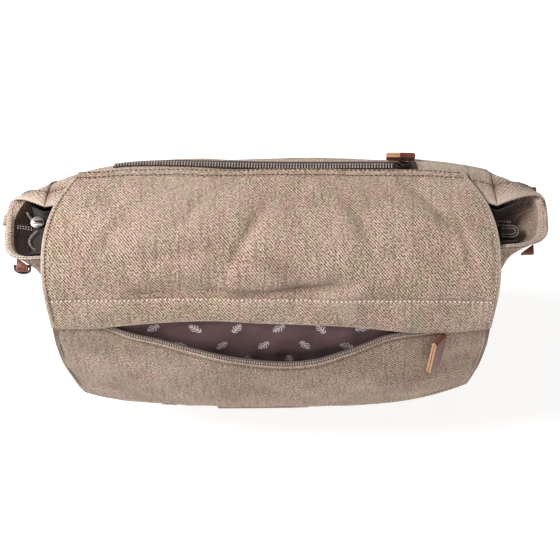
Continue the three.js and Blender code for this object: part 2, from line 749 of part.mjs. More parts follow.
// The folded tape end at the right end of the main zip, a plate with one round end.
function mainEndBody() {
  const half = mainEnd.width / 2;
  const from = rightTip - shortOfRight.endFrom;
  const round = rightTip - shortOfRight.endTo - half;
  const shape = new THREE.Shape();
  shape.moveTo(from, -half);
  shape.lineTo(round, -half);
  shape.absarc(round, 0, half, -Math.PI / 2, Math.PI / 2, false);
  shape.lineTo(from, half);
  const options = { depth: mainEnd.wall, bevelEnabled: false, curveSegments: 6 };
  const height = mainZipHeight(from) + panelWall + 3 * fit;
  return new THREE.ExtrudeGeometry(shape, options).translate(0, mainEnd.off, height);
}

// A folded loop sewn on an ear's outer face. It stands out from the face, or straight forwards or
// backwards with its legs cut on the slant, and tilt is the share of the face's own slope that it
// follows up or down.
function earTabFrame(tab) {
  const slope = wallNormal(tab.side, tab.round, tab.up);
  const sideways = slope.x * (1 - tab.straight);
  const out = new THREE.Vector3(sideways, slope.y, slope.z * tab.tilt).normalize();
  const along = new THREE.Vector3(0, 0, 1).cross(out).normalize();
  const slant = slope.dot(along) / slope.dot(out);
  const level = slope.clone().addScaledVector(along, -slope.dot(along)).normalize();
  const origin = surfaces[tab.side](tab.round, tab.up);
  const seat = mix(1.6, 4, tab.straight) * fit;
  const clear = seat / slope.dot(out) + leather * out.distanceTo(level);
  origin.addScaledVector(out, tab.reach + clear);
  return { origin, along, out, slant };
}

function earTabBody(tab, gap) {
  const { origin, along, out, slant } = earTabFrame(tab);
  const body = foldedStrip(tab.reach, tab.width, gap);
  const points = body.attributes.position;
  for (let k = 0; k < points.count; k += 1) {
    const share = points.getX(k) / tab.reach;
    points.setX(k, points.getX(k) + share * slant * points.getZ(k));
  }
  return placeIn(body, origin, out.clone().negate(), out.clone().cross(along));
}

// The strap ring is a flat D whose bar runs through the left front tab's fold.
function strapRingBody() {
  const { straight, wire, clear } = strapRing;
  const holder = earTabs.ear_tab_left_front;
  const half = holder.width / 2 + clear + wire;
  const edge = (x, y) => {
    const path = new THREE.Path();
    path.moveTo(x, -y);
    path.lineTo(straight, -y);
    path.absarc(straight, 0, y, -Math.PI / 2, Math.PI / 2, false);
    path.lineTo(x, y);
    return path.getPoints(5);
  };
  const shape = new THREE.Shape(edge(-wire / 2, half));
  shape.holes.push(new THREE.Path(edge(wire / 2, half - wire).reverse()));
  const body = new THREE.ExtrudeGeometry(shape, { depth: wire, bevelEnabled: false });
  body.translate(0, 0, -wire / 2);
  const { origin, along, out } = earTabFrame(holder);
  origin.addScaledVector(out, -leather - frontTabGap / 2 - 2 * fit);
  const fall = out.clone().applyAxisAngle(along, THREE.MathUtils.degToRad(strapRing.drop));
  return placeIn(body, origin, fall, along);
}

// Leather tabs held in the flap's lower edge and hanging below it.
function edgeTabBody(from, to, hangLeft, hangRight) {
  const us = evenSteps(from, to, 5);
  const at = (level) => (u, row) => {
    const end = lastRun(u);
    const edge = flapPoint(u, end, level);
    const down = edge.clone().sub(flapPoint(u, end - leather, level)).normalize();
    const hang = mix(hangLeft, hangRight, (u - from) / (to - from));
    return edge.addScaledVector(down, fit + row * hang);
  };
  return closedSheet(grid(us, [0, 1], at(liningFront + leather)), grid(us, [0, 1], at(liningFront)));
}

const materials = {
  canvas: { color: 0xb0a08c, roughness: 0.95, metalness: 0 },
  hem: { color: 0xa8987f, roughness: 0.95, metalness: 0 },
  lining: { color: 0x463639, roughness: 0.8, metalness: 0 },
  leather: { color: 0x6b3a28, roughness: 0.5, metalness: 0 },
  zip: { color: 0x6f625a, roughness: 0.6, metalness: 0.1 },
  metal: { color: 0x4a4440, roughness: 0.35, metalness: 0.9 },
  nickel: { color: 0xb4b2ae, roughness: 0.3, metalness: 1 },
};

const bag = new THREE.Group();

function add(name, geometry, finish) {
  const mesh = new THREE.Mesh(geometry, new THREE.MeshStandardMaterial(materials[finish]));
  mesh.name = name;
  bag.add(mesh);
  return mesh;
}

add('front_panel', wallBody('front', panelColumns), 'canvas');
add('back_panel', wallBody('back', panelColumns), 'canvas');
add('gusset_left', wallBody('left', gussetColumns), 'canvas');
add('gusset_right', wallBody('right', gussetColumns), 'canvas');
add('base_panel', baseBody(), 'canvas');
add('flap_upper', flapUpperBody(), 'canvas');
add('flap_lining', flapLiningBody(), 'lining');
add('flap_pocket_panel', flapPocketBody(), 'canvas');
add('flap_zip_tape_lower', lowerTapeBody(), 'zip');
add('flap_zip_coil_lower', lowerCoilBody(), 'zip');
add('flap_zip_tape_upper', upperTapeBody(), 'zip');
add('flap_zip_coil_upper', upperCoilBody(), 'zip');
add('flap_zip_slider', flapSliderBody(), 'metal');
add('flap_zip_pull', flapPullBody(), 'leather');
const halfCoil = closedCoilWidth / 2;
add('back_zip_tape', backStrip(backZip, -halfCoil - tapeWidth, halfCoil, backTape), 'zip');
add('back_zip_coil', backStrip(backCoilZip, -halfCoil, halfCoil, backCoil), 'zip');
add('back_zip_slider', backSliderBody(), 'metal');
add('back_zip_ring', backRingBody(), 'metal');
add('back_zip_pull', backPullBody(), 'leather');
add('main_zip_panel_front', mainPanelBody('front'), 'lining');
add('main_zip_panel_back', mainPanelBody('back'), 'lining');
add('main_zip_coil', mainCoilBody(), 'zip');
add('main_zip_slider', mainSliderBody(), 'nickel');
add('main_zip_end', mainEndBody(), 'zip');
Object.entries(earTabs).forEach(([name, tab]) => {
  const gap = name === 'ear_tab_left_front' ? frontTabGap : pullGap;
  add(name, earTabBody(tab, gap), name === 'side_loop_left' ? 'hem' : 'leather');
});
add('strap_ring_left', strapRingBody(), 'metal');
add('flap_grab_tab', edgeTabBody(grabTab.from, grabTab.to, grabTab.left, grabTab.right), 'leather');
closureTabs.forEach((tab) => {
  add(tab.name, edgeTabBody(tab.from, tab.to, tab.hang, tab.hang), 'leather');
});

export default bag;
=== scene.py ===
import bmesh
import bpy
import numpy as np
from math import cos, pi, radians, sin
from mathutils import Matrix, Vector, noise


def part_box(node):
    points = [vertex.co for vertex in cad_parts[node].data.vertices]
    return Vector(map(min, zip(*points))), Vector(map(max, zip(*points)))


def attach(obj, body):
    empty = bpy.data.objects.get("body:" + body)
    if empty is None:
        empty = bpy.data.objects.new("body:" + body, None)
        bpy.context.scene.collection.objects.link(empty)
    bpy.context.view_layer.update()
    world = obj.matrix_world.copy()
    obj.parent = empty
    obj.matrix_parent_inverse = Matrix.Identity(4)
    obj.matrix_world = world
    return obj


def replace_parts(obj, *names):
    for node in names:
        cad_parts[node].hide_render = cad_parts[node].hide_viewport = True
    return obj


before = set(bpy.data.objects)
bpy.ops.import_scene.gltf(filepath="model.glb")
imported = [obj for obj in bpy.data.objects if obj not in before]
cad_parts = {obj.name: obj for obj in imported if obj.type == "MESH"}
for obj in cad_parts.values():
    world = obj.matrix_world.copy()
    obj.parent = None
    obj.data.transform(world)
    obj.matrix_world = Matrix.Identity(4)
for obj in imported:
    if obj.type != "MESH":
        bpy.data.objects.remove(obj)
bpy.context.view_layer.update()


# The view. The bag is looked down on steeply from the front, from about a metre and a half away,
# so the top of the flap and the open ears are seen from above.
lens = bpy.data.cameras.new("view")
lens.sensor_width = 36.0
lens.lens = 106.97
view = bpy.data.objects.new("view", lens)
view.location = (0.0075, -0.6339, 1.5135)
view.rotation_euler = (radians(25.0), 0.0, 0.0)
bpy.context.scene.collection.objects.link(view)
bpy.context.scene.camera = view


# The table and the light. A white top that glows a little, so shadows on it stay faint, one soft
# box well to the left, which leaves the right in half shade, a weak one in front, and a pale room.
def add_node(tree, kind, inputs=None, **settings):
    made = tree.nodes.new(kind)
    for key, value in settings.items():
        setattr(made, key, value)
    for key, value in (inputs or {}).items():
        if isinstance(value, bpy.types.NodeSocket):
            tree.links.new(value, made.inputs[key])
        else:
            made.inputs[key].default_value = value
    return made


def new_finish(name, roughness, **sockets):
    material = bpy.data.materials.new(name)
    material.use_nodes = True
    tree = material.node_tree
    tree.nodes.clear()
    surface = add_node(tree, "ShaderNodeBsdfPrincipled", {"Roughness": roughness, **sockets})
    output = tree.nodes.new("ShaderNodeOutputMaterial")
    tree.links.new(surface.outputs[0], output.inputs[0])
    return material, tree, surface


def colour(red, green, blue):
    steps = [c / 255 for c in (red, green, blue)]
    return tuple(c / 12.92 if c < 0.04045 else ((c + 0.055) / 1.055) ** 2.4 for c in steps) + (1.0,)


def finished(name, bm, *finishes, smooth=True):
    mesh = bpy.data.meshes.new(name)
    bm.to_mesh(mesh)
    bm.free()
    for finish in finishes:
        mesh.materials.append(finish)
    mesh.polygons.foreach_set("use_smooth", [smooth] * len(mesh.polygons))
    piece = bpy.data.objects.new(name, mesh)
    bpy.context.scene.collection.objects.link(piece)
    return piece


def colour_mix(tree, share, first, second):
    return add_node(tree, "ShaderNodeMix", {0: share, 6: first, 7: second}, data_type="RGBA").outputs[2]


def bumped(tree, height, strength, distance):
    sizes = {"Height": height, "Strength": strength, "Distance": distance}
    return add_node(tree, "ShaderNodeBump", sizes).outputs[0]


table_top, tree, surface = new_finish("table_top", 0.9, **{"Emission Color": (1, 1, 1, 1),
                                                           "Emission Strength": 0.78})
grain = add_node(tree, "ShaderNodeTexNoise", {"Scale": 4.0, "Detail": 3.0})
tint = colour_mix(tree, grain.outputs[0], (0.46, 0.46, 0.46, 1), (0.5, 0.5, 0.495, 1))
tree.links.new(tint, surface.inputs["Base Color"])
bm = bmesh.new()
bmesh.ops.create_grid(bm, x_segments=1, y_segments=1, size=4.0)
finished("table", bm, table_top)


def soft_box(name, place, aim, size, power):
    light = bpy.data.lights.new(name, "AREA")
    light.shape = "RECTANGLE"
    light.size = size[0]
    light.size_y = size[1]
    light.energy = power
    lamp = bpy.data.objects.new(name, light)
    lamp.location = place
    lamp.rotation_euler = (Vector(aim) - Vector(place)).to_track_quat("-Z", "Y").to_euler()
    bpy.context.scene.collection.objects.link(lamp)


soft_box("overhead", (-1.25, 0.0, 1.7), (0, 0, 0.2), (0.7, 0.7), 42.0)
soft_box("fill", (0.7, -2.0, 1.6), (0, 0, 0.15), (1.2, 1.2), 5.0)
room = bpy.data.worlds.new("room")
room.use_nodes = True
room.node_tree.nodes["Background"].inputs["Color"].default_value = (1.0, 0.985, 0.965, 1)
room.node_tree.nodes["Background"].inputs["Strength"].default_value = 0.3
bpy.context.scene.world = room
bpy.context.scene.view_settings.view_transform = "Standard"


# The canvas. Heavy cotton twill, dyed taupe and washed until it mottles from pink to green, its
# short diagonal floats rubbed pale and the pits between them dark. The wrong side is darker, and a
# still darker copy of it is painted shade for insides that the light hardly reaches.
def canvas_finish(name, pink, green, rubbed, dark, cord=0.0020, relief=0.7):
    material, tree, surface = new_finish(name, 0.93, **{"Sheen Weight": 0.12, "Sheen Roughness": 0.6,
                                                       "Specular IOR Level": 0.15})
    lay = add_node(tree, "ShaderNodeUVMap", uv_map="cloth").outputs[0]

    def noisy(scale, detail=2.0, stretch=(1, 1, 1), rough=0.5):
        laid = add_node(tree, "ShaderNodeMapping", {"Vector": lay, "Scale": stretch})
        sizes = {"Vector": laid.outputs[0], "Scale": scale, "Detail": detail, "Roughness": rough}
        return add_node(tree, "ShaderNodeTexNoise", sizes).outputs[0]

    def ranged(value, low, high, least=0.0, most=1.0):
        return add_node(tree, "ShaderNodeMapRange", {0: value, 1: low, 2: high, 3: least, 4: most}).outputs[0]

    def blended(share, first, second):
        return add_node(tree, "ShaderNodeMix", {0: share, 2: first, 3: second}).outputs[0]

    def ribs(turn, width, wander):
        turned = add_node(tree, "ShaderNodeMapping", {"Vector": lay, "Rotation": (0, 0, radians(turn))})
        sizes = {"Vector": turned.outputs[0], "Scale": 0.314 / width, "Distortion": wander, "Detail": 2.0,
                 "Detail Scale": 1.3}
        return add_node(tree, "ShaderNodeTexWave", sizes, bands_direction="X").outputs["Fac"]

    crossing = ranged(noisy(60.0), 0.35, 0.65, 0.2, 0.55)
    weave = blended(crossing, ribs(40, cord, 2.2), ribs(-46, cord * 0.85, 2.2))
    fleck = blended(0.45, weave, ranged(noisy(560.0, 1.0), 0.3, 0.7))
    streaks = noisy(60.0, 3.0, (5.0, 0.7, 1.0))
    dyed = colour_mix(tree, ranged(noisy(46.0, 3.0, rough=0.6), 0.42, 0.58), pink, green)
    faded = colour_mix(tree, ranged(noisy(11.0, 3.0), 0.35, 0.7, 0.0, 0.35), dyed, rubbed)
    pits = colour_mix(tree, ranged(fleck, 0.25, 0.53, 1.0, 0.0), faded, dark)
    floats = colour_mix(tree, ranged(fleck, 0.54, 0.74, 0.0, 0.9), pits, rubbed)
    streaked = colour_mix(tree, ranged(streaks, 0.48, 0.7, 0.0, 0.38), floats, dark)
    # Painted light from two vertex attributes: the first read here darkens the cloth towards the dark tone as
    # painted shade, with some random mottle, and the second lightens it towards the pale tone for worn edges
    # and painted highlights on fold ridges.
    shade_and_mottle = add_node(tree, "ShaderNodeAttribute", attribute_name="shade_and_mottle").outputs["Fac"]
    wear_and_highlight = add_node(tree, "ShaderNodeAttribute", attribute_name="wear_and_highlight").outputs["Fac"]
    final_colour = colour_mix(tree, wear_and_highlight, colour_mix(tree, shade_and_mottle, streaked, dark), rubbed)
    bump = bumped(tree, fleck, relief, 0.0007)
    tree.links.new(final_colour, surface.inputs["Base Color"])
    tree.links.new(bump, surface.inputs["Normal"])
    return material


canvas = canvas_finish("canvas", colour(196, 160, 145), colour(172, 157, 126), colour(226, 206, 190),
                       colour(104, 76, 60))
canvas_inside = canvas_finish("canvas_inside", colour(156, 130, 116), colour(146, 128, 110),
                              colour(178, 156, 140), colour(84, 66, 54))
# A still darker copy of the wrong side, painted shade, for the left ear's inside, the inner faces of the
# front and back walls and the back of the flap's upper layer.
shaded_inside = canvas_finish("shaded_inside", colour(62, 42, 34), colour(54, 42, 32), colour(88, 68, 54),
                            colour(26, 18, 14))


# The body. Four canvas walls sewn edge to edge round a flat base, slack and full below and drawn
# in to a long narrow mouth, whose two ends stand out past the seams as ears.
rim_height = 0.262
seam_half_width = 0.180
front_belly = 0.084
back_belly = 0.075
front_corner = 0.060
side_bulge = 0.011
rim_drop = 0.014
canvas_wall = 0.0018
rim_hem = 0.0028
ear_squareness = 3.1
ears = {
    "left": {"sign": -1, "reach": 0.034, "mouth": 0.024, "back": 0.058, "lean": -0.006,
             "swings": (0.0, 0.017)},
    "right": {"sign": 1, "reach": 0.044, "mouth": 0.0195, "back": 0.068, "lean": 0.0,
              "swings": (0.005, 0.020)},
}
side_rows = {
    "up": [0, 0.15, 0.33, 0.5, 0.65, 0.78, 0.88, 0.95, 0.975, 1],
    "height": [0, 0.145, 0.335, 0.535, 0.71, 0.832, 0.916, 0.966, 0.987, 1],
    "seam": [0.89, 0.945, 0.985, 1, 1, 1, 1.017, 1.045, 1.055, 1.067],
    "front": [0.62, 0.84, 1, 1, 0.93, 0.62, 0.22, 0.06, 0.02, 0],
    "back": [0.8, 0.92, 1, 1, 1, 1, 1, 0.8, 0.5, 0],
    "ear": [0, 0, 0, 0, 0, 0.1, 0.5, 0.84, 0.93, 1],
    "square": [3, 3, 3, 3, 2.8, 2.2, 1.15, 1.08, 1.8, 5],
}
front_rows = {
    "up": [0, 0.15, 0.33, 0.5, 0.65, 0.78, 0.88, 0.95, 0.975, 1],
    "out": [0.66, 0.84, 0.965, 0.995, 0.94, 0.815, 0.62, 0.48, 0.4, 0.32],
    "height": [0, 0.145, 0.335, 0.535, 0.703, 0.817, 0.92, 0.968, 0.99, 1.015],
}
back_rows = {
    "up": [0, 0.15, 0.33, 0.5, 0.65, 0.78, 0.88, 0.95, 0.975, 1],
    "out": [0.74, 0.88, 0.97, 1, 1.01, 1.02, 1.015, 0.95, 0.72, 0.36],
    "height": [0, 0.145, 0.335, 0.535, 0.71, 0.82, 0.9, 0.958, 0.998, 1.015],
}


def read(table, key, column, at):
    keys = np.array(table[key], float)
    values = np.array(table[column], float)
    before = np.r_[values[0], values[:-1]]
    after = np.r_[values[1:], values[-1]]
    steps = np.r_[keys[1:], keys[-1]] - np.r_[keys[0], keys[:-1]]
    slope = (after - before) / steps
    at = np.clip(at, keys[0], keys[-1])
    k = np.clip(np.searchsorted(keys, at, side="left") - 1, 0, len(keys) - 2)
    span = keys[k + 1] - keys[k]
    t = (at - keys[k]) / span
    ease = t * t * (3 - 2 * t)
    bend = slope[k] * span * t * (1 - t) ** 2 - slope[k + 1] * span * t * t * (1 - t)
    return mix(values[k], values[k + 1], ease) + bend


def mix(a, b, share):
    return a + (b - a) * share


def bell(away, wide):
    return np.exp(-(away / wide) ** 2)


def seam_line(side, up):
    ear = ears[side]
    up = np.clip(up, 0, 1)
    line = {column: read(side_rows, "up", column, up) for column in side_rows if column != "up"}
    lean = ear["lean"] * up ** 4
    return {
        "x": seam_half_width * line["seam"],
        "z": rim_height * line["height"],
        "front": lean - mix(ear["mouth"], front_corner, line["front"]),
        "back": lean + mix(ear["mouth"], ear["back"], line["back"]),
        "bulge": mix(side_bulge, ear["reach"], line["ear"]),
        "swings": (ear["swings"][0] * up ** 4, ear["swings"][1] * up ** 8),
        "drop": rim_drop * up ** 5,
        "square": line["square"],
    }


def gusset_face(side, u, up):
    seam = seam_line(side, up)
    angle = np.clip(u, -1, 1) * pi / 2
    power = 2 / np.where(u > 0, seam["square"], ear_squareness)
    out = np.maximum(np.cos(angle), 0) ** power
    turn = np.sign(angle) * np.abs(np.sin(angle)) ** power
    share = (turn + 1) / 2
    y = mix(seam["front"], seam["back"], share) + mix(*seam["swings"], share) * out
    x = ears[side]["sign"] * (seam["x"] + seam["bulge"] * out)
    return np.stack([x, y, seam["z"] - seam["drop"] * out * out], -1)


def panel_face(facing, u, up):
    rows = front_rows if facing == "front" else back_rows
    belly = -front_belly if facing == "front" else back_belly
    left = seam_line("left", up)
    right = seam_line("right", up)
    u = np.clip(u, -1, 1)
    up = np.clip(up, 0, 1)
    share = (u + 1) / 2
    square = 2.6 if facing == "front" else np.where(u < 0, 3.8, 7.0)
    crown = 1 - np.abs(u) ** square
    y = mix(mix(left[facing], right[facing], share), belly * read(rows, "up", "out", up), crown)
    z = mix(mix(left["z"], right["z"], share), rim_height * read(rows, "up", "height", up), crown)
    return np.stack([mix(-left["x"], right["x"], share) + 0 * y, y, z], -1)


def spread(points, shares):
    """Each row of points, taken again at these shares of its own length."""
    rows = []
    for row in points:
        arc = np.r_[0, np.cumsum(np.linalg.norm(np.diff(row, axis=0), axis=1))]
        rows.append(np.stack([np.interp(shares * arc[-1], arc, row[:, k]) for k in range(3)], -1))
    return np.array(rows)


def edged(count, span):
    """Shares from 0 to 1, with a few close together at each end for the rounded edge."""
    near = np.array([0, 0.08, 0.3, 0.6, 1]) * 0.0012 / span
    return np.r_[near, np.linspace(near[-1], 1 - near[-1], count)[1:-1], 1 - near[::-1]]


def facing_out(points, side):
    normal = np.cross(np.gradient(points, axis=1), np.gradient(points, axis=0))
    length = np.maximum(np.linalg.norm(normal, axis=-1, keepdims=True), 1e-12)
    return side * normal / length


def crumple(points, size, seed):
    """Soft uneven noise from about -1 to 1, the same each time."""
    flat = (points / size + seed).reshape(-1, 3)
    values = [noise.noise(Vector(p)) + 0.5 * noise.noise(Vector(p) * 2.1) for p in flat.tolist()]
    return np.array(values).reshape(points.shape[:2])


def arcs(points, axis):
    steps = np.linalg.norm(np.diff(points, axis=axis), axis=-1)
    start = np.zeros_like(np.take(steps, [0], axis=axis))
    return np.cumsum(np.concatenate([start, steps], axis=axis), axis=axis)


def cloth_piece(name, face, wall, side, finishes, wear_and_highlight=None, shade_and_mottle=None, turned_in=None):
    """A closed piece of cloth from the points of its outer face, with rounded edges."""
    rows, columns = face.shape[:2]
    normal = facing_out(face, side)
    across = arcs(face, 1)
    along = arcs(face, 0)
    near = np.minimum(np.minimum(across, across[:, -1:] - across), np.minimum(along, along[-1:] - along))
    half = np.broadcast_to(np.asarray(wall, float) / 2, near.shape)
    curl = np.sqrt(np.maximum(1 - (1 - np.minimum(near / half, 1)) ** 2, 0))
    lay = np.stack([across - across[:, columns // 2:columns // 2 + 1], along], -1)
    bm = bmesh.new()
    uv = bm.loops.layers.uv.new("cloth")
    # Per-vertex values for the two painted-light attributes: worn edges with painted highlights, and painted
    # shade with mottle.
    layers = [(bm.verts.layers.float.new(key), values) for key, values in (("wear_and_highlight", wear_and_highlight), ("shade_and_mottle", shade_and_mottle))]
    for back in (0, 1):
        shift = half * (1 + curl if back else 1 - curl)
        points = face - normal * shift[..., None]
        made = bmesh.ops.create_grid(bm, x_segments=columns - 1, y_segments=rows - 1, size=0.5)
        place = {}
        for vert in made["verts"]:
            spot = (round((vert.co.y + 0.5) * (rows - 1)), round((vert.co.x + 0.5) * (columns - 1)))
            vert.co = points[spot]
            place[vert] = spot
            for layer, values in layers:
                vert[layer] = 0.0 if values is None else float(values[spot])
        for flat in {f for v in made["verts"] for f in v.link_faces}:
            first_row = min(place[vert][0] for vert in flat.verts)
            hem = turned_in is not None and first_row >= turned_in
            flat.material_index = 0 if hem else min(back, len(finishes) - 1)
            for loop in flat.loops:
                loop[uv].uv = lay[place[loop.vert]]
    bmesh.ops.remove_doubles(bm, verts=bm.verts, dist=1e-7)
    bmesh.ops.recalc_face_normals(bm, faces=bm.faces)
    return finished(name, bm, *finishes)


across_dense = np.linspace(-1, 1, 361)
wall_ups = edged(64, 0.27)
body_walls = {}
for facing, side in (("front", -1), ("back", 1)):
    u, up = np.meshgrid(across_dense, wall_ups)
    body_walls[facing] = (spread(panel_face(facing, u, up), edged(96, 0.38)), -side)
for ear, side in (("left", 1), ("right", -1)):
    u, up = np.meshgrid(across_dense, wall_ups)
    body_walls[ear] = (spread(gusset_face(ear, u, up), edged(56, 0.12)), -side)
body_names = {"front": "front_panel", "back": "back_panel", "left": "gusset_left", "right": "gusset_right"}
for key, (face, side) in body_walls.items():
    deep = {"front": 0.0012, "back": 0.0018, "left": 0.0016, "right": 0.0018}[key]
    size = 0.035 if key in ears else 0.06
    calm = np.minimum(wall_ups / 0.06, 1)[:, None] * np.clip((1 - wall_ups) / 0.04, 0.3, 1)[:, None]
    folds = crumple(face, size, 3.0)
    hem = ((wall_ups > 0.962) * 0.0007 - 0.0009 * bell(wall_ups - 0.976, 0.004))[:, None]
    across = arcs(face, 1)
    seam = bell(np.minimum(across, across[:, -1:] - across), 0.0022)
    drawn_in = 0.0014 * bell(wall_ups - 0.9, 0.06)[:, None] * (key in ("right", "back"))
    pushed = deep * calm * np.minimum(folds, 0.6) + hem - drawn_in
    face = face + facing_out(face, side) * pushed[..., None]
    hemmed = np.clip((wall_ups - 0.955) / 0.01, 0, 1)[:, None] + np.zeros(face.shape[:2])
    wall = mix(canvas_wall, rim_hem, hemmed)
    body_walls[key] = (face, side)
    # Painted light on the walls: the rim's top edge and the hem fold are painted lighter where worn, and the
    # grooves beside the hem, the seams and the fold valleys are painted darker where shade falls.
    lip = bell(1 - wall_ups, 0.007) + 0.5 * bell(wall_ups - 0.966, 0.005)
    groove = 0.6 * bell(wall_ups - 0.976, 0.004) + 0.6 * bell(wall_ups - 0.955, 0.005)
    shade_and_mottle = np.clip(groove[:, None] + 0.75 * seam + 0.3 * np.maximum(-folds - 0.2, 0), 0, 0.85)
    # The lit right ear's inside takes the wrong side's own colour; the other insides take its darker copy,
    # painted shade.
    inside = canvas_inside if key == "right" else shaded_inside
    wall_piece = cloth_piece(body_names[key] + "_cloth", face, wall, side, (canvas, inside),
                             0.7 * lip[:, None] + np.zeros(face.shape[:2]), shade_and_mottle,
                             int(np.searchsorted(wall_ups, 0.962)))
    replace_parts(wall_piece, body_names[key])
    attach(wall_piece, "root")


# The base. A flat canvas panel inside the lower edges of the four walls.
base_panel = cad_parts["base_panel"]
bm = bmesh.new()
bm.from_mesh(base_panel.data)
bmesh.ops.remove_doubles(bm, verts=bm.verts, dist=1e-6)
bmesh.ops.dissolve_limit(bm, angle_limit=radians(2), verts=bm.verts, edges=bm.edges)
uv = bm.loops.layers.uv.new("cloth")
for flat in bm.faces:
    for loop in flat.loops:
        loop[uv].uv = loop.vert.co.xy
base_cloth = finished("base_cloth", bm, canvas, smooth=False)
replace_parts(base_cloth, "base_panel")
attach(base_cloth, "root")


# The stitching. Lock stitches in heavy thread, pale on most seams: each shows as a short dash
# that sinks into the cloth at both ends.
def thread_finish(name, tone):
    material, tree, surface = new_finish(name, 0.6, **{"Sheen Weight": 0.2})
    place = add_node(tree, "ShaderNodeTexCoord").outputs["Object"]
    twist = add_node(tree, "ShaderNodeTexNoise", {"Vector": place, "Scale": 900.0, "Detail": 2.0})
    shade = tuple(c * 0.6 for c in tone[:3]) + (1.0,)
    plied = colour_mix(tree, twist.outputs[0], shade, tone)
    tree.links.new(plied, surface.inputs["Base Color"])
    return material


pale_thread = thread_finish("pale_thread", colour(250, 232, 222))
dark_thread = thread_finish("dark_thread", colour(84, 66, 54))


def along_path(values, arc, spot):
    return Vector([np.interp(spot, arc, values[:, k]) for k in range(3)])


def stitches(name, path, outward, finish, pitch=0.0036, length=0.0027, thick=0.00055, slot="canvas"):
    """Dashes of thread along a path of points, lying on a face with these outward directions."""
    arc = np.r_[0, np.cumsum(np.linalg.norm(np.diff(path, axis=0), axis=1))]
    bm = bmesh.new()
    for spot in np.arange(pitch / 2, arc[-1], pitch):
        ends = [along_path(path, arc, spot - length / 2), along_path(path, arc, spot + length / 2)]
        out = along_path(outward, arc, spot).normalized()
        run = (ends[1] - ends[0]).normalized()
        side = out.cross(run).normalized()
        axes = Matrix((run * length / 2, side * thick, run.cross(side) * thick * 0.8)).transposed().to_4x4()
        spot_matrix = Matrix.Translation((ends[0] + ends[1]) / 2) @ axes
        bmesh.ops.create_icosphere(bm, subdivisions=1, radius=1.0, matrix=spot_matrix)
    bmesh.ops.recalc_face_normals(bm, faces=bm.faces)
    piece = finished(name, bm, finish)
    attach(piece, "root")
    return piece


for key, (face, side) in body_walls.items():
    out = facing_out(face, side)
    rim_row = int(np.argmin(np.abs(wall_ups - 0.976)))
    stitches(key + "_rim_stitches", face[rim_row], out[rim_row], dark_thread, pitch=0.0028, length=0.0019)
    stitches(key + "_rim_top_stitches", face[-1] - out[-1] * rim_hem / 2 + [0, 0, 0.0001],
             np.tile([0.0, 0.0, 1.0], (face.shape[1], 1)), dark_thread, pitch=0.0028, length=0.0019)
    within = face[rim_row] - out[rim_row] * (rim_hem + 0.0001)
    stitches(key + "_rim_inner_stitches", within, -out[rim_row], pale_thread, pitch=0.0028, length=0.0019)
    if key in ("front", "back"):
        for column in (9, face.shape[1] - 10):
            stitches(f"{key}_seam_stitches_{column}", face[3:-3, column], out[3:-3, column], dark_thread)
    else:
        down = (wall_ups > 0.5) & (wall_ups < 0.962)
        column = int(face.shape[1] * (0.52 if key == "left" else 0.6))
        for beside in (0, 1):
            seam = face[down, column + beside] - out[down, column + beside] * (canvas_wall + 0.0002)
            stitches(f"{key}_ear_seam_stitches_{beside}", seam, -out[down, column + beside],
                     pale_thread if key == "left" else dark_thread, pitch=0.0026, length=0.0018, thick=0.0005)


# The main zip. It closes the mouth between two strips of dark ribbed cloth sewn inside the rim,
# which drop a little and turn in to the coil. Its end is folded in a dark stitched tab.
main_zip_off = 0.0095
recess = 0.014
zip_section = {"across": [0, 0.04, 0.2, 1], "down": [0.1, 0.75, 1, 1.08]}
coil_half = 0.0023


def rim_inside(x, facing):
    rows = []
    for value in x:
        side = "left" if value < 0 else "right"
        seam = seam_line(side, np.array(1.0))
        over = (abs(value) - seam["x"]) / seam["bulge"]
        if over <= 0:
            left = seam_line("left", np.array(1.0))["x"]
            right = seam_line("right", np.array(1.0))["x"]
            rows.append(panel_face(facing, np.array(2 * (value + left) / (left + right) - 1), np.array(1.0)))
            continue
        square = ear_squareness if facing == "front" else seam["square"]
        turn = (1 - min(over, 1) ** square) ** (1 / square) * (-1 if facing == "front" else 1)
        share = (turn + 1) / 2
        y = mix(seam["front"], seam["back"], share) + mix(*seam["swings"], share) * over
        rows.append(np.array([value, y, seam["z"] - seam["drop"] * over * over]))
    return np.array(rows)


def cloth_tape_finish(name, tone, shade, pitch=0.0011):
    material, tree, surface = new_finish(name, 0.8, **{"Sheen Weight": 0.15})
    lay = add_node(tree, "ShaderNodeUVMap", uv_map="cloth").outputs[0]
    ribs = add_node(tree, "ShaderNodeTexWave", {"Vector": lay, "Scale": 0.314 / pitch, "Distortion": 0.6},
                    bands_direction="X")
    fuzz = add_node(tree, "ShaderNodeTexNoise", {"Vector": lay, "Scale": 300.0, "Detail": 3.0})
    both = add_node(tree, "ShaderNodeMix", {0: 0.5, 2: ribs.outputs["Fac"], 3: fuzz.outputs[0]})
    dyed = colour_mix(tree, both.outputs[0], shade, tone)
    bump = bumped(tree, both.outputs[0], 0.5, 0.0003)
    tree.links.new(dyed, surface.inputs["Base Color"])
    tree.links.new(bump, surface.inputs["Normal"])
    return material


dark_tape = cloth_tape_finish("dark_tape", colour(88, 72, 66), colour(34, 26, 24), pitch=0.0016)
pale_tape = cloth_tape_finish("pale_tape", colour(214, 188, 178), colour(168, 142, 132))
plain_lining = cloth_tape_finish("plain_lining", colour(66, 52, 50), colour(26, 19, 19), pitch=0.0024)

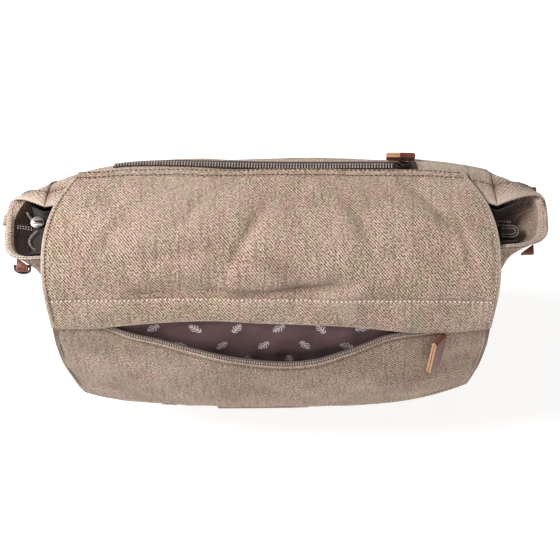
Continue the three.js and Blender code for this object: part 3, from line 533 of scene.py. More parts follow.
zip_x = spread(np.stack([np.linspace(-0.203, 0.207, 200)] * 3, -1)[None], edged(90, 0.41))[0][:, 0]
section = edged(14, 0.05)
for facing, inward in (("front", 1), ("back", -1)):
    rim = rim_inside(zip_x, facing)
    start = rim[:, 1] + inward * (rim_hem + 0.0015)
    edge = main_zip_off - inward * (coil_half + 0.0003)
    across = np.interp(section, [0, 0.4, 0.5, 1], zip_section["across"])
    down = np.interp(section, [0, 0.4, 0.5, 1], zip_section["down"])
    y = mix(start[None], edge, across[:, None]) + 0.0012 * inward * (1 - across[:, None])
    z = rim[None, :, 2] - recess * down[:, None] + 0.0012
    face = np.stack([zip_x[None] + 0 * y, y, z + 0 * y], -1)
    strip = cloth_piece(f"main_zip_strip_{facing}", face, 0.0012, inward, (plain_lining,))
    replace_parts(strip, f"main_zip_panel_{facing}")
    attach(strip, "root")


def coil_finish(name, tone, shade):
    material, tree, surface = new_finish(name, 0.38, **{"Specular IOR Level": 0.5})
    place = add_node(tree, "ShaderNodeTexCoord").outputs["Object"]
    rubbed = add_node(tree, "ShaderNodeTexNoise", {"Vector": place, "Scale": 260.0, "Detail": 2.0})
    final_colour = colour_mix(tree, rubbed.outputs[0], shade, tone)
    tree.links.new(final_colour, surface.inputs["Base Color"])
    return material


coil_nylon = coil_finish("coil_nylon", colour(214, 198, 186), colour(120, 104, 96))


def coil_teeth(name, path, outward, half, pitch=0.0019):
    """The turns of a nylon coil: small loops side by side, lying across the path."""
    arc = np.r_[0, np.cumsum(np.linalg.norm(np.diff(path, axis=0), axis=1))]
    bm = bmesh.new()
    for spot in np.arange(pitch / 2, arc[-1], pitch):
        here = along_path(path, arc, spot)
        there = along_path(path, arc, spot + pitch / 2)
        back = along_path(path, arc, spot - pitch / 2)
        out = along_path(outward, arc, spot).normalized()
        run = (there - back).normalized()
        side = out.cross(run).normalized()
        axes = Matrix((run * pitch * 0.33, side * half, run.cross(side) * 0.0009)).transposed().to_4x4()
        bmesh.ops.create_icosphere(bm, subdivisions=1, radius=1.0, matrix=Matrix.Translation(here) @ axes)
    bmesh.ops.recalc_face_normals(bm, faces=bm.faces)
    piece = finished(name, bm, coil_nylon)
    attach(piece, "root")
    return piece


coil_x = np.linspace(-0.192, 0.205, 120)
height = (rim_inside(coil_x, "front")[:, 2] + rim_inside(coil_x, "back")[:, 2]) / 2 - recess * 1.08
straight_up = np.tile([0.0, 0.0, 1.0], (120, 1))
for off in (-0.0017, 0.0017):
    path = np.stack([coil_x, np.full(120, main_zip_off + off), height + 0.0014], -1)
    coil = coil_teeth(f"main_coil_{'front' if off < 0 else 'back'}", path, straight_up, 0.0015, pitch=0.0021)
    if off < 0:
        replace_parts(coil, "main_zip_coil")

# The zip's open end: beyond the slider its two halves part and curl away from each other
open_halves = {
    "back": [(-0.2035, 0.0115, 0.2505), (-0.2065, 0.0150, 0.2508), (-0.2085, 0.0190, 0.2515)],
    "front": [(-0.1985, 0.0010, 0.2500), (-0.2030, -0.0035, 0.2502), (-0.2050, -0.0085, 0.2500),
              (-0.2030, -0.0135, 0.2495), (-0.1990, -0.0165, 0.2490)],
}
for half, knots in open_halves.items():
    knots = np.array(knots)
    fine = np.linspace(0, len(knots) - 1, 40)
    path = np.stack([np.interp(fine, range(len(knots)), knots[:, k]) for k in range(3)], -1)
    coil_teeth(f"main_coil_open_{half}", path, straight_up[:40], 0.0015, pitch=0.0017)


# The bright metal of the main slider, and the dark bronze of the other sliders and rings.
def metal_finish(name, tone, shade, roughness):
    material, tree, surface = new_finish(name, roughness, Metallic=1.0)
    place = add_node(tree, "ShaderNodeTexCoord").outputs["Object"]
    tarnish = add_node(tree, "ShaderNodeTexNoise", {"Vector": place, "Scale": 340.0, "Detail": 4.0})
    final_colour = colour_mix(tree, tarnish.outputs[0], shade, tone)
    bump = bumped(tree, tarnish.outputs[0], 0.25, 0.0003)
    tree.links.new(final_colour, surface.inputs["Base Color"])
    tree.links.new(bump, surface.inputs["Normal"])
    return material


nickel = metal_finish("nickel", colour(246, 242, 236), colour(196, 190, 184), 0.42)
bronze = metal_finish("bronze", colour(96, 84, 74), colour(30, 24, 22), 0.34)


def slider_body(name, centre, along, out, length, width, wall, finish, node):
    """A cast zip slider: a shield-shaped body with rounded edges and a raised bridge on top."""
    along = Vector(along).normalized()
    across = Vector(out).cross(along).normalized()
    lay = Matrix((along, across, along.cross(across))).transposed().to_4x4()
    bm = bmesh.new()
    made = bmesh.ops.create_circle(bm, cap_ends=True, segments=24, radius=0.5)
    for vert in made["verts"]:
        waist = 1 - 0.28 * max(0.0, -vert.co.x * 2) ** 2
        vert.co = Vector((vert.co.x * length, vert.co.y * width * waist, 0))
    lift = bmesh.ops.extrude_face_region(bm, geom=bm.faces[:])
    top = [v for v in lift["geom"] if isinstance(v, bmesh.types.BMVert)]
    bmesh.ops.translate(bm, verts=top, vec=(0, 0, wall))
    bmesh.ops.bevel(bm, geom=bm.edges[:], offset=wall * 0.22, offset_type="OFFSET", segments=3, profile=0.5,
                    affect="EDGES", material=-1)
    bridge = Matrix.Translation((0, 0, wall * 1.25))
    bridge = bridge @ Matrix.Diagonal((length * 0.62, width * 0.26, wall * 0.5, 1))
    block = bmesh.ops.create_cube(bm, size=1.0, matrix=bridge)
    rim = list({e for v in block["verts"] for e in v.link_edges})
    bmesh.ops.bevel(bm, geom=rim, offset=wall * 0.12, offset_type="OFFSET", segments=2, profile=0.5,
                    affect="EDGES", material=-1)
    bmesh.ops.recalc_face_normals(bm, faces=bm.faces)
    bmesh.ops.transform(bm, matrix=Matrix.Translation(Vector(centre)) @ lay, verts=bm.verts)
    piece = finished(name, bm, finish)
    piece.data.set_sharp_from_angle(angle=radians(40))
    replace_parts(piece, node)
    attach(piece, "root")
    return piece


low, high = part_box("main_zip_slider")
middle = (Vector(low) + Vector(high)) / 2
slider_body("main_slider", (middle.x, middle.y, low[2]), (-1, 0, 0), (0, 0, 1), high[0] - low[0],
            high[1] - low[1], (high[2] - low[2]) * 0.62, nickel, "main_zip_slider")


def trim_block(name, centre, size, round_off, finish):
    bm = bmesh.new()
    lay = Matrix.Translation(Vector(centre)) @ Matrix.Diagonal((*size, 1))
    bmesh.ops.create_cube(bm, size=1.0, matrix=lay)
    bmesh.ops.bevel(bm, geom=bm.edges[:], offset=round_off, offset_type="OFFSET", segments=3, profile=0.5,
                    affect="EDGES", material=-1)
    piece = finished(name, bm, finish)
    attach(piece, "root")


# The dark bronze strip is painted shade standing for the slider's slot, with the nickel bar in front of it.
trim_block("main_slider_slot", (middle.x + 0.001, middle.y - 0.0005, high[2]),
           (0.0072, 0.0014, 0.0012), 0.0003, bronze)
trim_block("main_slider_bar", (middle.x + 0.001, middle.y - 0.0035, high[2]),
           (0.0085, 0.0026, 0.0014), 0.0005, nickel)

bm = bmesh.new()
bm.from_mesh(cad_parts["main_zip_end"].data)
bmesh.ops.remove_doubles(bm, verts=bm.verts, dist=1e-6)
rim = [e for e in bm.edges if len(e.link_faces) == 2 and e.calc_face_angle() > radians(60)]
bmesh.ops.bevel(bm, geom=rim, offset=0.0008, offset_type="OFFSET", segments=3, profile=0.5, affect="EDGES",
                material=-1)
zip_end = finished("main_zip_end_fold", bm, dark_tape)
zip_end.data.set_sharp_from_angle(angle=radians(40))
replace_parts(zip_end, "main_zip_end")
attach(zip_end, "root")
end_low, end_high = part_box("main_zip_end")
fold_radius = 0.0065
sewn_straight = 0.009
turns = np.linspace(-pi / 2, pi / 2, 30)
for inset in (0.0012, 0.0036):
    half = fold_radius - inset
    arc = np.stack([end_high[0] - fold_radius + half * np.cos(turns),
                    (end_low[1] + end_high[1]) / 2 + half * np.sin(turns),
                    np.full(30, end_high[2] + 0.0002)], -1)
    line = np.concatenate([arc[:1] - [[sewn_straight, 0, 0]], arc, arc[-1:] - [[sewn_straight, 0, 0]]])
    stitches(f"zip_end_stitches_{int(inset * 1e4)}", line, np.tile([0.0, 0.0, 1.0], (len(line), 1)),
             pale_thread, pitch=0.0019, length=0.0013, thick=0.0004, slot="zip_cloth")


# The flap. Two canvas layers hang from a seam behind the mouth, over the top and down the front.
# The upper one ends in a stitched hem, and its placket edge covers the pocket zip.
flap_length = 0.312
hem_run = 0.126
placket_run = 0.148
placket_hang = 0.011
flap_half_width = 0.193
upper_wall = 0.0026
pocket_wall = 0.0022
lining_wall = 0.0012
zip_fold = 0.144
mouth_sag = 0.044
pocket_puff = 0.0136
fit = 0.0003
lining_front = fit + lining_wall
pocket_back = lining_front + fit
pocket_front = pocket_back + pocket_wall
upper_back = pocket_front + 2 * fit
upper_front = upper_back + upper_wall
flap_rows = {
    "run": [0, 0.096, 0.16, 0.224, 0.292, 0.343, 0.404, 0.474, 0.532, 0.609, 0.721, 0.817, 0.913, 1],
    "mid_y": [0.7, 0.295, 0.036, -0.186, -0.404, -0.538, -0.658, -0.798, -0.881, -0.965, -1.008, -1.022,
              -1.018, -0.985],
    "mid_z": [0.986, 1.008, 1.023, 1.02, 0.996, 0.966, 0.913, 0.846, 0.785, 0.7, 0.57, 0.458, 0.345, 0.249],
    "side_y": [0.676, 0.286, 0.04, -0.19, -0.408, -0.54, -0.655, -0.785, -0.825, -0.845, -0.857, -0.86, -0.85,
               -0.83],
    "side_z": [0.981, 0.993, 0.998, 0.995, 0.978, 0.951, 0.905, 0.828, 0.765, 0.68, 0.545, 0.43, 0.316,
               0.215],
    "width": [0.85, 0.938, 0.97, 0.988, 0.993, 0.991, 0.984, 0.969, 0.967, 0.966, 0.957, 0.937, 0.914, 0.885],
}
mouth_rows = {
    "across": [-1, -0.82, -0.68, -0.5, -0.25, -0.02, 0.14, 0.36, 0.52, 0.63, 0.74, 0.86, 1],
    "open": [0, 0.12, 0.42, 0.57, 0.82, 1, 1, 0.77, 0.56, 0.48, 0.38, 0.12, 0],
    "hang": [0.36, 0.5, 0.3, 0, -0.12, 0.1, 0.2, 0.4, 0.75, 0.95, 1, 0.85, 0.36],
}
# Each dent: across, run, half width, half length, turn in degrees, depth in flap walls
dents = [
    (-0.14, 0.24, 0.07, 0.16, 30, 1.2),
    (-0.42, 0.375, 0.34, 0.03, 0, 1.0),
    (0.17, 0.365, 0.2, 0.03, -8, 1.3),
    (-0.02, 0.27, 0.16, 0.1, 20, -0.7),
    (0.62, 0.3, 0.22, 0.06, 0, 0.7),
]


def dent_depth(u, share):
    depth = 0 * (u + share)
    for across, run, wide, long, turn, deep in dents:
        dx = (u - across) * flap_half_width
        ds = (share - run) * flap_length
        a = (dx * cos(radians(turn)) + ds * sin(radians(turn))) / (wide * flap_half_width)
        b = (ds * cos(radians(turn)) - dx * sin(radians(turn))) / (long * flap_length)
        depth = depth + deep * upper_wall * np.exp(-a * a - b * b)
    return depth


def flap_bed(u, share):
    share = np.clip(share, 0, 1)
    u = np.clip(u, -1, 1)
    row = {column: read(flap_rows, "run", column, share) for column in flap_rows if column != "run"}
    side = np.abs(u) ** 3
    y = mix(row["mid_y"], row["side_y"], side)
    z = mix(row["mid_z"], row["side_z"], side)
    return np.stack([u * flap_half_width * row["width"], y * np.where(y > 0, back_belly, front_belly),
                     z * rim_height], -1)


def flap_out(u, run):
    share = run / flap_length
    across = flap_bed(u + 0.004, share) - flap_bed(u - 0.004, share)
    along = flap_bed(u, share + 0.004) - flap_bed(u, share - 0.004)
    out = np.cross(along, across)
    return out / np.linalg.norm(out, axis=-1, keepdims=True)


def flap_face(u, run, level):
    u, run = np.broadcast_arrays(np.asarray(u, float), np.asarray(run, float))
    rise = level - dent_depth(u, run / flap_length)
    return flap_bed(u, run / flap_length) + flap_out(u, run) * rise[..., None]


def last_run(u):
    rise = np.where(u < 0, 0.035 * np.abs(u) ** 8, 0.12 * np.abs(u) ** 2.2)
    return flap_length * (1 - rise)


def placket_edge(u):
    return placket_run + placket_hang * read(mouth_rows, "across", "hang", u)


def pocket_top(u):
    return zip_fold + mouth_sag * np.maximum(read(mouth_rows, "across", "open", u), 0)


def stand_off(u, run):
    clear = pocket_top(u) - 0.0044 - 0.004 - placket_edge(u)
    lip = np.clip(clear / (mouth_sag * 0.6), 0, 1)
    broad = 1 - np.abs(u) ** 2.5
    below = np.clip((run - placket_edge(u) - upper_wall) / (mouth_sag * 1.6), 0, 1)
    side = mix(lip, np.maximum(lip, broad), below ** 2)
    falling = np.clip((run - placket_run - mouth_sag) / (flap_length - placket_run - mouth_sag), 0, 1)
    return pocket_puff * side * (1 - falling ** 3)


# Creases pressed in by wear, on the upper layer: across, run, half width, half length, turn, depth
creases = [
    (-0.17, 0.385, 0.15, 0.016, 3, 0.0026), (0.05, 0.380, 0.15, 0.014, -6, 0.0028),
    (-0.52, 0.388, 0.16, 0.014, 4, 0.0018), (0.24, 0.366, 0.13, 0.016, -10, 0.0022),
    (0.5, 0.39, 0.16, 0.013, 2, 0.0012), (-0.1, 0.2, 0.022, 0.09, 28, 0.0032),
    (-0.34, 0.12, 0.03, 0.08, 40, 0.0016), (0.38, 0.17, 0.03, 0.11, -24, 0.0018),
    (-0.7, 0.2, 0.03, 0.12, 30, 0.0018), (0.74, 0.13, 0.025, 0.09, -32, 0.0018),
    (0.1, 0.09, 0.12, 0.018, 6, 0.0012), (0.86, 0.25, 0.02, 0.1, -12, 0.0016),
    (0.02, 0.3, 0.2, 0.02, 14, 0.0016), (-0.45, 0.27, 0.2, 0.018, -12, 0.0014),
]


def crease_depth(u, share, folds):
    depth = 0 * (u + share)
    for across, run, wide, long, turn, deep in folds:
        dx = (u - across) * flap_half_width
        ds = (share - run) * flap_length
        a = (dx * cos(radians(turn)) + ds * sin(radians(turn))) / (wide * flap_half_width)
        b = (ds * cos(radians(turn)) - dx * sin(radians(turn))) / (long * flap_length)
        depth = depth + deep * np.exp(-a * a - b * b)
    return depth


def upper_rise(u, run, inset):
    """How far the upper layer stands off its plain form, in folds, creases and sewn grooves."""
    plain = flap_face(u, run, upper_front)
    rise = 0.0016 * crumple(plain, 0.04, 11.0) + 0.0004 * crumple(plain, 0.012, 5.0)
    rise = rise - crease_depth(u, run / flap_length, creases)
    rise = rise - 0.0004 * bell(run - hem_run, 0.0016)
    rise = rise + 0.0006 * np.clip((run - hem_run) / 0.002, 0, 1)
    rise = rise - 0.0007 * bell(inset - 0.0036, 0.0012)
    edge_fade = np.minimum(np.minimum(inset, placket_edge(u) - run) / 0.004, 1)
    return np.minimum(rise, 0.0016) * np.maximum(edge_fade, 0.25)


def sewn_line(name, u, run, finish, inset, **sizes):
    u, run = np.broadcast_arrays(u, run)
    out = flap_out(u, run)
    level = upper_front + upper_rise(u[None], run[None], np.broadcast_to(inset, u.shape)[None])[0] + 0.0004
    stitches(name, flap_bed(u, run / flap_length) + out * (level - dent_depth(u, run / flap_length))[:, None],
             out, finish, **sizes)


columns = mix(-1, 1, edged(150, 0.386))
rows = edged(120, 0.15)
u, share = np.meshgrid(columns, rows)
run = share * placket_edge(u)
inset = np.minimum((1 - np.abs(u)) * flap_half_width, run + 0.004)
face = flap_face(u, run, upper_front)
folds = crumple(face, 0.04, 11.0)
face = face + flap_out(u, run) * upper_rise(u, run, inset)[..., None]
# Painted light on the upper layer: its edges are painted lighter where worn and its fold ridges get a painted
# highlight; the grooves at the hem and along the sides, the root stitch line, the creases and the fold
# valleys are painted darker as shade, over some random mottle.
wear_and_highlight = 0.6 * bell(inset, 0.0016) + 0.5 * bell(placket_edge(u) - run, 0.0016)
wear_and_highlight = wear_and_highlight + 0.25 * np.clip(folds - 0.25, 0, 1)
shade_and_mottle = 0.25 * bell(run - hem_run + 0.0022, 0.0014) + 0.35 * bell(inset - 0.0036, 0.0014)
shade_and_mottle = shade_and_mottle + 0.4 * bell(run - 0.0075, 0.0012) + 150 * crease_depth(u, run / flap_length, creases)
shade_and_mottle = np.clip(shade_and_mottle + 0.16 * crumple(face, 0.035, 41.0) + 0.25 * np.clip(-folds - 0.3, 0, 1), 0, 0.7)
upper = cloth_piece("flap_upper_cloth", face, upper_wall, -1, (canvas, shaded_inside), wear_and_highlight, shade_and_mottle)
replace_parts(upper, "flap_upper")
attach(upper, "root")

hem_u = np.linspace(-0.975, 0.975, 200)
sewn_line("hem_stitches", hem_u, hem_run + 0 * hem_u, pale_thread, 0.02, pitch=0.0038, length=0.0025,
          thick=0.0010)
for at, number in ((0.0022, 1), (0.0075, 2)):
    sewn_line(f"root_stitches_{number}", hem_u, at + 0 * hem_u, dark_thread, 0.02, pitch=0.004, length=0.0026)
# The same topstitching is drawn in dark thread on the left side, as painted shade, and in pale thread on the
# right.
for side, finish in ((-1, dark_thread), (1, pale_thread)):
    side_run = np.linspace(0.006, placket_run - 0.004, 120)
    width = flap_half_width * read(flap_rows, "run", "width", side_run / flap_length)
    sewn_line(f"flap_side_stitches_{'left' if side < 0 else 'right'}", side * (1 - 0.0036 / width), side_run,
              finish, 0.0036)


# The flap's lining. Thin dark plum cotton printed with small pale leaf sprigs turned every way,
# seen where the pocket gapes. It closes the flap's back as well.
def lining_finish(name):
    material, tree, surface = new_finish(name, 0.85, **{"Sheen Weight": 0.1})
    lay = add_node(tree, "ShaderNodeUVMap", uv_map="cloth").outputs[0]
    apart = add_node(tree, "ShaderNodeSeparateXYZ", {0: lay})

    def step(kind, a, b=0.0, c=0.0):
        return add_node(tree, "ShaderNodeMath", {0: a, 1: b, 2: c}, operation=kind).outputs[0]

    cell = 0.021
    cell_width = cell * 1.7
    row = step("FLOOR", step("DIVIDE", apart.outputs[1], cell))
    drawn = step("ADD", step("DIVIDE", apart.outputs[0], cell_width), step("MULTIPLY", row, 0.37))
    column = step("FLOOR", drawn)
    number = add_node(tree, "ShaderNodeCombineXYZ", {0: column, 1: row})
    chance = add_node(tree, "ShaderNodeTexWhiteNoise", {0: number.outputs[0]}, noise_dimensions="3D")
    turn = step("MULTIPLY", chance.outputs[0], 2 * pi)
    x = step("MULTIPLY", step("SUBTRACT", step("FRACT", drawn), 0.5), cell_width)
    y = step("MULTIPLY", step("SUBTRACT", step("FRACT", step("DIVIDE", apart.outputs[1], cell)), 0.5), cell)
    along = step("ADD", step("MULTIPLY", x, step("COSINE", turn)), step("MULTIPLY", y, step("SINE", turn)))
    beside = step("ABSOLUTE", step("SUBTRACT", step("MULTIPLY", y, step("COSINE", turn)),
                                   step("MULTIPLY", x, step("SINE", turn))))
    from_middle = step("ABSOLUTE", along)
    stem = step("MULTIPLY", step("LESS_THAN", beside, 0.0006), step("LESS_THAN", from_middle, 0.0064))
    slope = step("ADD", step("SUBTRACT", along, step("MULTIPLY", beside, 0.9)), 1.0)
    slanted = step("FRACT", step("DIVIDE", slope, 0.0030))
    reaching = step("SUBTRACT", 0.0042, step("MULTIPLY", from_middle, 0.4))
    leafy = step("MULTIPLY", step("LESS_THAN", slanted, 0.5), step("LESS_THAN", beside, reaching))
    leafy = step("MULTIPLY", leafy, step("LESS_THAN", from_middle, 0.0058))
    printed = step("MAXIMUM", stem, leafy)
    thread = add_node(tree, "ShaderNodeTexNoise", {"Vector": lay, "Scale": 900.0, "Detail": 2.0})
    cloud = add_node(tree, "ShaderNodeTexNoise", {"Vector": lay, "Scale": 38.0, "Detail": 4.0})
    ground = colour_mix(tree, cloud.outputs[0], colour(62, 42, 42), colour(142, 108, 108))
    ink = colour_mix(tree, thread.outputs[0], colour(222, 200, 200), colour(255, 246, 244))
    shown = colour_mix(tree, step("MULTIPLY", printed, 0.9), ground, ink)
    bump = bumped(tree, thread.outputs[0], 0.3, 0.0003)
    tree.links.new(shown, surface.inputs["Base Color"])
    tree.links.new(bump, surface.inputs["Normal"])
    return material


printed_lining = lining_finish("printed_lining")
u, share = np.meshgrid(mix(-1, 1, edged(100, 0.38)), edged(80, 0.18))
run = mix(hem_run + 0.001, last_run(u), share)
face = flap_face(u, run, lining_front)
lining_rise = 0.0022 * np.maximum(crumple(face, 0.03, 21.0), -0.2) * np.clip((run - 0.15) / 0.01, 0, 1)
lining_rise = lining_rise * np.clip(stand_off(u, np.maximum(run, 0.19)) / pocket_puff, 0, 1)
face = face + flap_out(u, run) * lining_rise[..., None]
lining = cloth_piece("flap_lining_cloth", face, lining_wall, -1, (printed_lining, canvas_inside))
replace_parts(lining, "flap_lining")
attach(lining, "root")


# The flap's pocket panel. The lower canvas layer, full and a little loose: its top edge is folded
# over a zip tape and sags open from the placket, and its lower corners are rounded.
u, share = np.meshgrid(columns, edged(120, 0.16))
run = mix(pocket_top(u), last_run(u), share)
face = flap_face(u, run, pocket_front + stand_off(u, run))
inset = np.minimum((1 - np.abs(u)) * flap_half_width, last_run(u) - run)
folds = crumple(face, 0.045, 31.0)
rise = 0.0020 * folds + 0.0004 * crumple(face, 0.012, 5.0)
rise = rise * np.clip((run - pocket_top(u)) / 0.02 + 0.15, 0, 1)
rise = rise - 0.0008 * bell(inset - 0.0040, 0.0013)
rise = rise - 0.0009 * bell(run - pocket_top(u) - 0.0045, 0.0016)
rise = rise * np.clip(inset / 0.004, 0.25, 1)
below = np.clip((run - placket_edge(u) - 0.001) / 0.006, 0, 1)
face = face + flap_out(u, run) * (np.minimum(rise, 0.0015) * below)[..., None]
# Painted light on the pocket panel: its folded top edge is painted lighter where worn and its fold ridges get
# a painted highlight; the whole panel is painted a little darker as shade, more so at its edges, in the
# groove under the fold and in the fold valleys, over some random mottle.
wear_and_highlight = 0.35 * bell(run - pocket_top(u), 0.0014) + 0.2 * np.clip(folds - 0.3, 0, 1)
shade_and_mottle = 0.16 + 0.2 * crumple(face, 0.03, 51.0) + 0.6 * bell(inset, 0.0030)
shade_and_mottle = shade_and_mottle + 0.5 * bell(run - pocket_top(u) - 0.0045, 0.0016)
shade_and_mottle = np.clip(shade_and_mottle + 0.3 * np.clip(-folds - 0.2, 0, 1), 0, 0.8)
pocket = cloth_piece("flap_pocket_cloth", face, pocket_wall, -1, (canvas, printed_lining), wear_and_highlight, shade_and_mottle)
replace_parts(pocket, "flap_pocket_panel")
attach(pocket, "root")

# The same topstitching is drawn in dark thread on the left side, as painted shade, and in pale thread on the
# right.
for side, finish in ((-1, dark_thread), (1, pale_thread)):
    side_run = np.linspace(placket_run + 0.012, float(last_run(side * 1.0)) - 0.006, 80)
    width = flap_half_width * read(flap_rows, "run", "width", side_run / flap_length)
    side_u = side * (1 - 0.0042 / width)
    level = pocket_front + stand_off(side_u, side_run)
    stitches(f"pocket_side_stitches_{'left' if side < 0 else 'right'}", flap_face(side_u, side_run, level),
             flap_out(side_u, side_run), finish)
low_u = np.linspace(-0.96, 0.96, 160)
low_run = last_run(low_u) - 0.0055
stitches("pocket_low_stitches", flap_face(low_u, low_run, pocket_front + stand_off(low_u, low_run)),
         flap_out(low_u, low_run), pale_thread)


# The pocket's zip. Its lower half is sewn under the sagging fold on a brown tape, its coil turned
# up to the light; its upper half lies flat under the placket, out of sight from above.
zip_u = np.linspace(-0.8, 0.72, 200)


zip_tape = cloth_tape_finish("zip_tape", colour(126, 104, 94), colour(70, 54, 48), pitch=0.0012)


def lip_at(before, raised):
    run = pocket_top(zip_u) - before
    level = pocket_back + raised + stand_off(zip_u, pocket_top(zip_u))
    return flap_face(zip_u, run, level), flap_out(zip_u, run)


def laid_strip(name, first, second, wall, finish, node):
    face = np.stack([mix(first, second, share) for share in edged(4, 0.004)])
    face = spread(face, edged(150, 0.3))
    piece = cloth_piece(name, face, wall, 1, (finish,))
    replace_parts(piece, node)
    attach(piece, "root")
    return piece


laid_strip("flap_tape_lower", lip_at(0.0052, 0.0009)[0], lip_at(-0.0008, 0.0008)[0], 0.0007, zip_tape,
           "flap_zip_tape_lower")
lip_path, lip_out = lip_at(0.0024, 0.0016)
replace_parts(coil_teeth("flap_coil_lower", lip_path, lip_out, 0.0016, pitch=0.0021), "flap_zip_coil_lower")
upper_run = placket_edge(zip_u) - 0.015
laid_strip("flap_tape_upper", flap_face(zip_u, upper_run - 0.0054, upper_back - fit),
           flap_face(zip_u, upper_run - 0.001, upper_back - fit), 0.0007, dark_tape, "flap_zip_tape_upper")
upper_coil = coil_teeth("flap_coil_upper", flap_face(zip_u, upper_run, pocket_back + 0.0011),
                        flap_out(zip_u, upper_run), 0.0011)
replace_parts(upper_coil, "flap_zip_coil_upper")
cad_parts["flap_zip_slider"].data.materials.clear()
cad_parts["flap_zip_slider"].data.materials.append(bronze)


# The leather. Waxed red-brown straps folded double, their faces dark and rubbed at the folds and
# their cut edges left pale, as on the two zip pulls and the tabs on the ears.
def leather_finish(name, tone, shade, rubbed, roughness):
    material, tree, surface = new_finish(name, roughness, **{"Specular IOR Level": 0.45})
    place = add_node(tree, "ShaderNodeTexCoord").outputs["Object"]
    pores = add_node(tree, "ShaderNodeTexVoronoi", {"Vector": place, "Scale": 900.0})
    cloud = add_node(tree, "ShaderNodeTexNoise", {"Vector": place, "Scale": 160.0, "Detail": 4.0})
    waxed = colour_mix(tree, cloud.outputs[0], shade, tone)
    patch = add_node(tree, "ShaderNodeMapRange", {0: cloud.outputs[0], 1: 0.6, 2: 0.75, 3: 0.0, 4: 0.5})
    final_colour = colour_mix(tree, patch.outputs[0], waxed, rubbed)
    bump = bumped(tree, pores.outputs["Distance"], 0.3, 0.0003)
    tree.links.new(final_colour, surface.inputs["Base Color"])
    tree.links.new(bump, surface.inputs["Normal"])
    return material


leather = leather_finish("leather", colour(134, 72, 50), colour(84, 42, 30), colour(168, 104, 74), 0.46)
cut_edge = leather_finish("cut_edge", colour(214, 170, 132), colour(170, 124, 90), colour(226, 186, 150),
                          0.75)
leather_wall = 0.002


def folded_leather(name, length, width, gap, origin, along, out, node, rounding=0.0, pale_from=0.0):
    """A strip bent double: two legs joined by a round fold at the origin, with pale cut edges."""
    middle = (leather_wall + gap) / 2
    bend = middle + leather_wall / 2
    path = [(length, -middle), (mix(length, bend, 0.5), -middle), (bend, -middle)]
    path += [(bend - middle * sin(a), -middle * cos(a)) for a in np.linspace(0, pi, 9)[1:-1]]
    path += [(bend, middle), (mix(length, bend, 0.5), middle), (length, middle)]
    bm = bmesh.new()
    ends = [bm.verts.new((*path[0], z)) for z in (-width / 2, width / 2)]
    line = [bm.edges.new(ends)]
    for before, after in zip(path, path[1:]):
        grown = bmesh.ops.extrude_edge_only(bm, edges=line)
        moved = [g for g in grown["geom"] if isinstance(g, bmesh.types.BMVert)]
        bmesh.ops.translate(bm, verts=moved, vec=(after[0] - before[0], after[1] - before[1], 0))
        line = [g for g in grown["geom"] if isinstance(g, bmesh.types.BMEdge) and
                all(v in moved for v in g.verts)]
    bmesh.ops.recalc_face_normals(bm, faces=bm.faces)
    for vert in bm.verts:
        vert.co += vert.normal * leather_wall / 2
    bmesh.ops.solidify(bm, geom=list(bm.faces), thickness=leather_wall)
    bmesh.ops.remove_doubles(bm, verts=bm.verts, dist=1e-6)
    bmesh.ops.recalc_face_normals(bm, faces=bm.faces)
    for flat in bm.faces:
        normal = flat.normal
        at_end = flat.calc_center_median().x > length - 1e-5
        cut = abs(normal.z) > 0.9 and flat.calc_center_median().x >= pale_from
        flat.material_index = 1 if cut or at_end else 0
    corners = [e for e in bm.edges if all(v.co.x > length - 1e-5 for v in e.verts) and
               abs(e.verts[0].co.y - e.verts[1].co.y) > leather_wall * 0.9]
    if rounding:
        bmesh.ops.bevel(bm, geom=corners, offset=rounding, offset_type="OFFSET", segments=4, profile=0.5,
                        affect="EDGES", material=1)
    rim = [e for e in bm.edges if len({f.material_index for f in e.link_faces}) == 2]
    bmesh.ops.bevel(bm, geom=rim, offset=0.00035, offset_type="OFFSET", segments=2, profile=0.5,
                    affect="EDGES", material=1)
    x = Vector(along).normalized()
    z = x.cross(Vector(out)).normalized()
    lay = Matrix((x, z.cross(x), z)).transposed().to_4x4()
    bmesh.ops.transform(bm, matrix=Matrix.Translation(Vector(origin)) @ lay, verts=bm.verts)
    piece = finished(name, bm, leather, cut_edge)
    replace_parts(piece, node)
    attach(piece, "root")
    return piece


pull = {"across": 0.765, "length": 0.044, "width": 0.015, "lift": 47, "slant": -0.003}
pull_gap = 0.0004
pull_half = leather_wall + pull_gap / 2
pull_run = float(placket_edge(pull["across"])) + 0.0015


def pull_spot(length):
    u = pull["across"] + pull["slant"] * length / pull["length"] / flap_half_width
    level = pocket_front + float(stand_off(u, pull_run + length))
    return Vector(flap_face(u, pull_run + length, level))


top = pull_spot(0)
along = pull_spot(pull["length"]) - top
face_out = Vector(flap_out(np.array(pull["across"]), np.array(pull_run)))
out = Matrix.Rotation(-radians(pull["lift"]), 3, along.normalized()) @ face_out
middle = (pull_spot(pull["length"] / 2) - top).dot(face_out)
lift = radians(pull["lift"])
stand = pull_half * cos(lift) + sin(lift) * pull["width"] / 2 + middle + 0.001
folded_leather("flap_pull", pull["length"], pull["width"], pull_gap, top + face_out * stand, along, out,
               "flap_zip_pull", 0.0045)


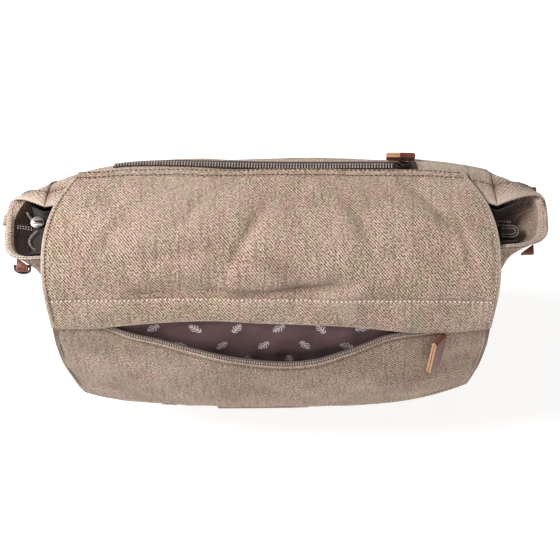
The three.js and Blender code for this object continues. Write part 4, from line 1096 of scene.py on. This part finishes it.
# The tabs on the ears. Short leather loops, one with the strap's ring in its fold, and a small
# cloth loop at the tip of the left ear.
# Each: side, place round the ear, height up it, width, reach, straightness, tilt, gap
tabs = {
    "ear_tab_left_front": ("left", -0.6, 0.95, 0.009, 0.0076, 1, 0, 0.0038),
    "ear_tab_left_back": ("left", 0.34, 0.975, 0.008, 0.005, 0.5, 0.4, pull_gap),
    "ear_tab_right_front": ("right", -0.57, 0.95, 0.011, 0.005, 1, 0, pull_gap),
    "ear_tab_right_back": ("right", 0.26, 0.95, 0.0145, 0.009, 1, 0, pull_gap),
    "side_loop_left": ("left", 0.06, 0.985, 0.009, 0.006, 0, 0.35, pull_gap),
}
for node, (side, u, up, width, reach, straight, tilt, gap) in tabs.items():
    spots = [gusset_face(side, np.array(u + a), np.array(up + b))
             for a, b in ((-0.004, 0), (0.004, 0), (0, -0.004), (0, 0.004))]
    slope = Vector(np.cross(spots[1] - spots[0], spots[3] - spots[2])).normalized()
    slope *= ears[side]["sign"]
    out = Vector((slope.x * (1 - straight), slope.y, slope.z * tilt)).normalized()
    along = Vector((0, 0, 1)).cross(out).normalized()
    slant = slope.dot(along) / slope.dot(out)
    level = (slope - along * slope.dot(along)).normalized()
    clear = mix(1.6, 4, straight) * fit / slope.dot(out) + leather_wall * (out - level).length
    origin = Vector(gusset_face(side, np.array(u), np.array(up))) + out * (reach + clear)
    tab = folded_leather(node + "_loop", reach, width, gap, origin, -out, out.cross(along), node)
    for vert in tab.data.vertices:
        from_fold = vert.co - origin
        vert.co -= out * (from_fold.dot(-out) / reach * slant * from_fold.dot(along))
    if node == "side_loop_left":
        tab.data.materials.clear()
        tab.data.materials.append(pale_tape)
        tab.data.materials.append(pale_tape)
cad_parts["strap_ring_left"].data.materials.clear()
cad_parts["strap_ring_left"].data.materials.append(bronze)


# The back zip. A pocket zip in the back panel just behind the flap's root, with its closed coil
# showing as two rows, a bronze slider and ring, and a leather pull standing on edge behind it.
back_zip_rows = {"across": [-0.72, -0.5, -0.2, 0.1, 0.8], "up": [0.9605, 0.9655, 0.9705, 0.9722, 0.9712]}


def on_back(u, offset, level):
    up = read(back_zip_rows, "across", "up", u) + offset * 1.25
    spots = [panel_face("back", u + a, up + b) for a, b in ((-0.004, 0), (0.004, 0), (0, -0.004), (0, 0.004))]
    out = -np.cross(spots[1] - spots[0], spots[3] - spots[2])
    out /= np.linalg.norm(out, axis=-1, keepdims=True)
    return panel_face("back", u, up) + out * level, out


slider_across = 0.59
tape_u = np.linspace(-0.72, 0.66, 160)
low_edge = on_back(tape_u, -0.0067, 0.0013)[0]
high_edge = on_back(tape_u, 0.0023, 0.0013)[0]
laid_strip("back_tape", high_edge, low_edge, 0.0008, dark_tape, "back_zip_tape")
coil_u = np.linspace(-0.715, slider_across - 0.0073 / seam_half_width, 160)
for off, name in ((-0.0013, "back_coil_lower"), (0.0013, "back_coil_upper")):
    path, out = on_back(coil_u, off, 0.0022)
    teeth = coil_teeth(name, path, out, 0.0016, pitch=0.0024)
    if off < 0:
        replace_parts(teeth, "back_zip_coil")



def ahead_at(offset, level):
    ahead, behind = [on_back(np.array(slider_across + a), offset, level)[0] for a in (0.02, -0.02)]
    return ahead - behind


here, out = on_back(np.array(slider_across), 0.0, 0.0019)
ahead = ahead_at(0.0, 0.0019)
slider_body("back_slider", here, ahead, out, 0.014, 0.009, 0.0022, bronze, "back_zip_slider")
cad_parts["back_zip_ring"].data.materials.clear()
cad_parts["back_zip_ring"].data.materials.append(bronze)
back_pull_width = 0.007
reach = 0.005 + 0.0009 + leather_wall
start, out = on_back(np.array(slider_across), -reach - 0.001, 0.0)
along = Vector(ahead_at(-reach - 0.001, 0.0)).normalized()
out = Vector(out)
side = along.cross(Vector((0, 0, 1))).normalized()
foot = back_pull_width / 2 * side.cross(along).dot(out) + pull_half * abs(side.dot(out))
origin = Vector(start) + along * 0.0125 + out * (foot + 0.0003)
folded_leather("back_pull", 0.025, back_pull_width, pull_gap, origin, -along, side, "back_zip_pull",
               rounding=0.0015, pale_from=0.0125)


# The grab tab and the two closure tabs. Flat dark leather caught in the flap's lower seam and
# hanging a little below it.
for node in ("flap_grab_tab", "closure_tab_left", "closure_tab_right"):
    bm = bmesh.new()
    bm.from_mesh(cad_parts[node].data)
    bmesh.ops.remove_doubles(bm, verts=bm.verts, dist=1e-6)
    sharp = [e for e in bm.edges if len(e.link_faces) == 2 and e.calc_face_angle() > radians(50)]
    bmesh.ops.bevel(bm, geom=sharp, offset=0.0004, offset_type="OFFSET", segments=2, profile=0.5,
                    affect="EDGES", material=-1)
    tab = finished(node + "_leather", bm, leather)
    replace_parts(tab, node)
    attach(tab, "root")
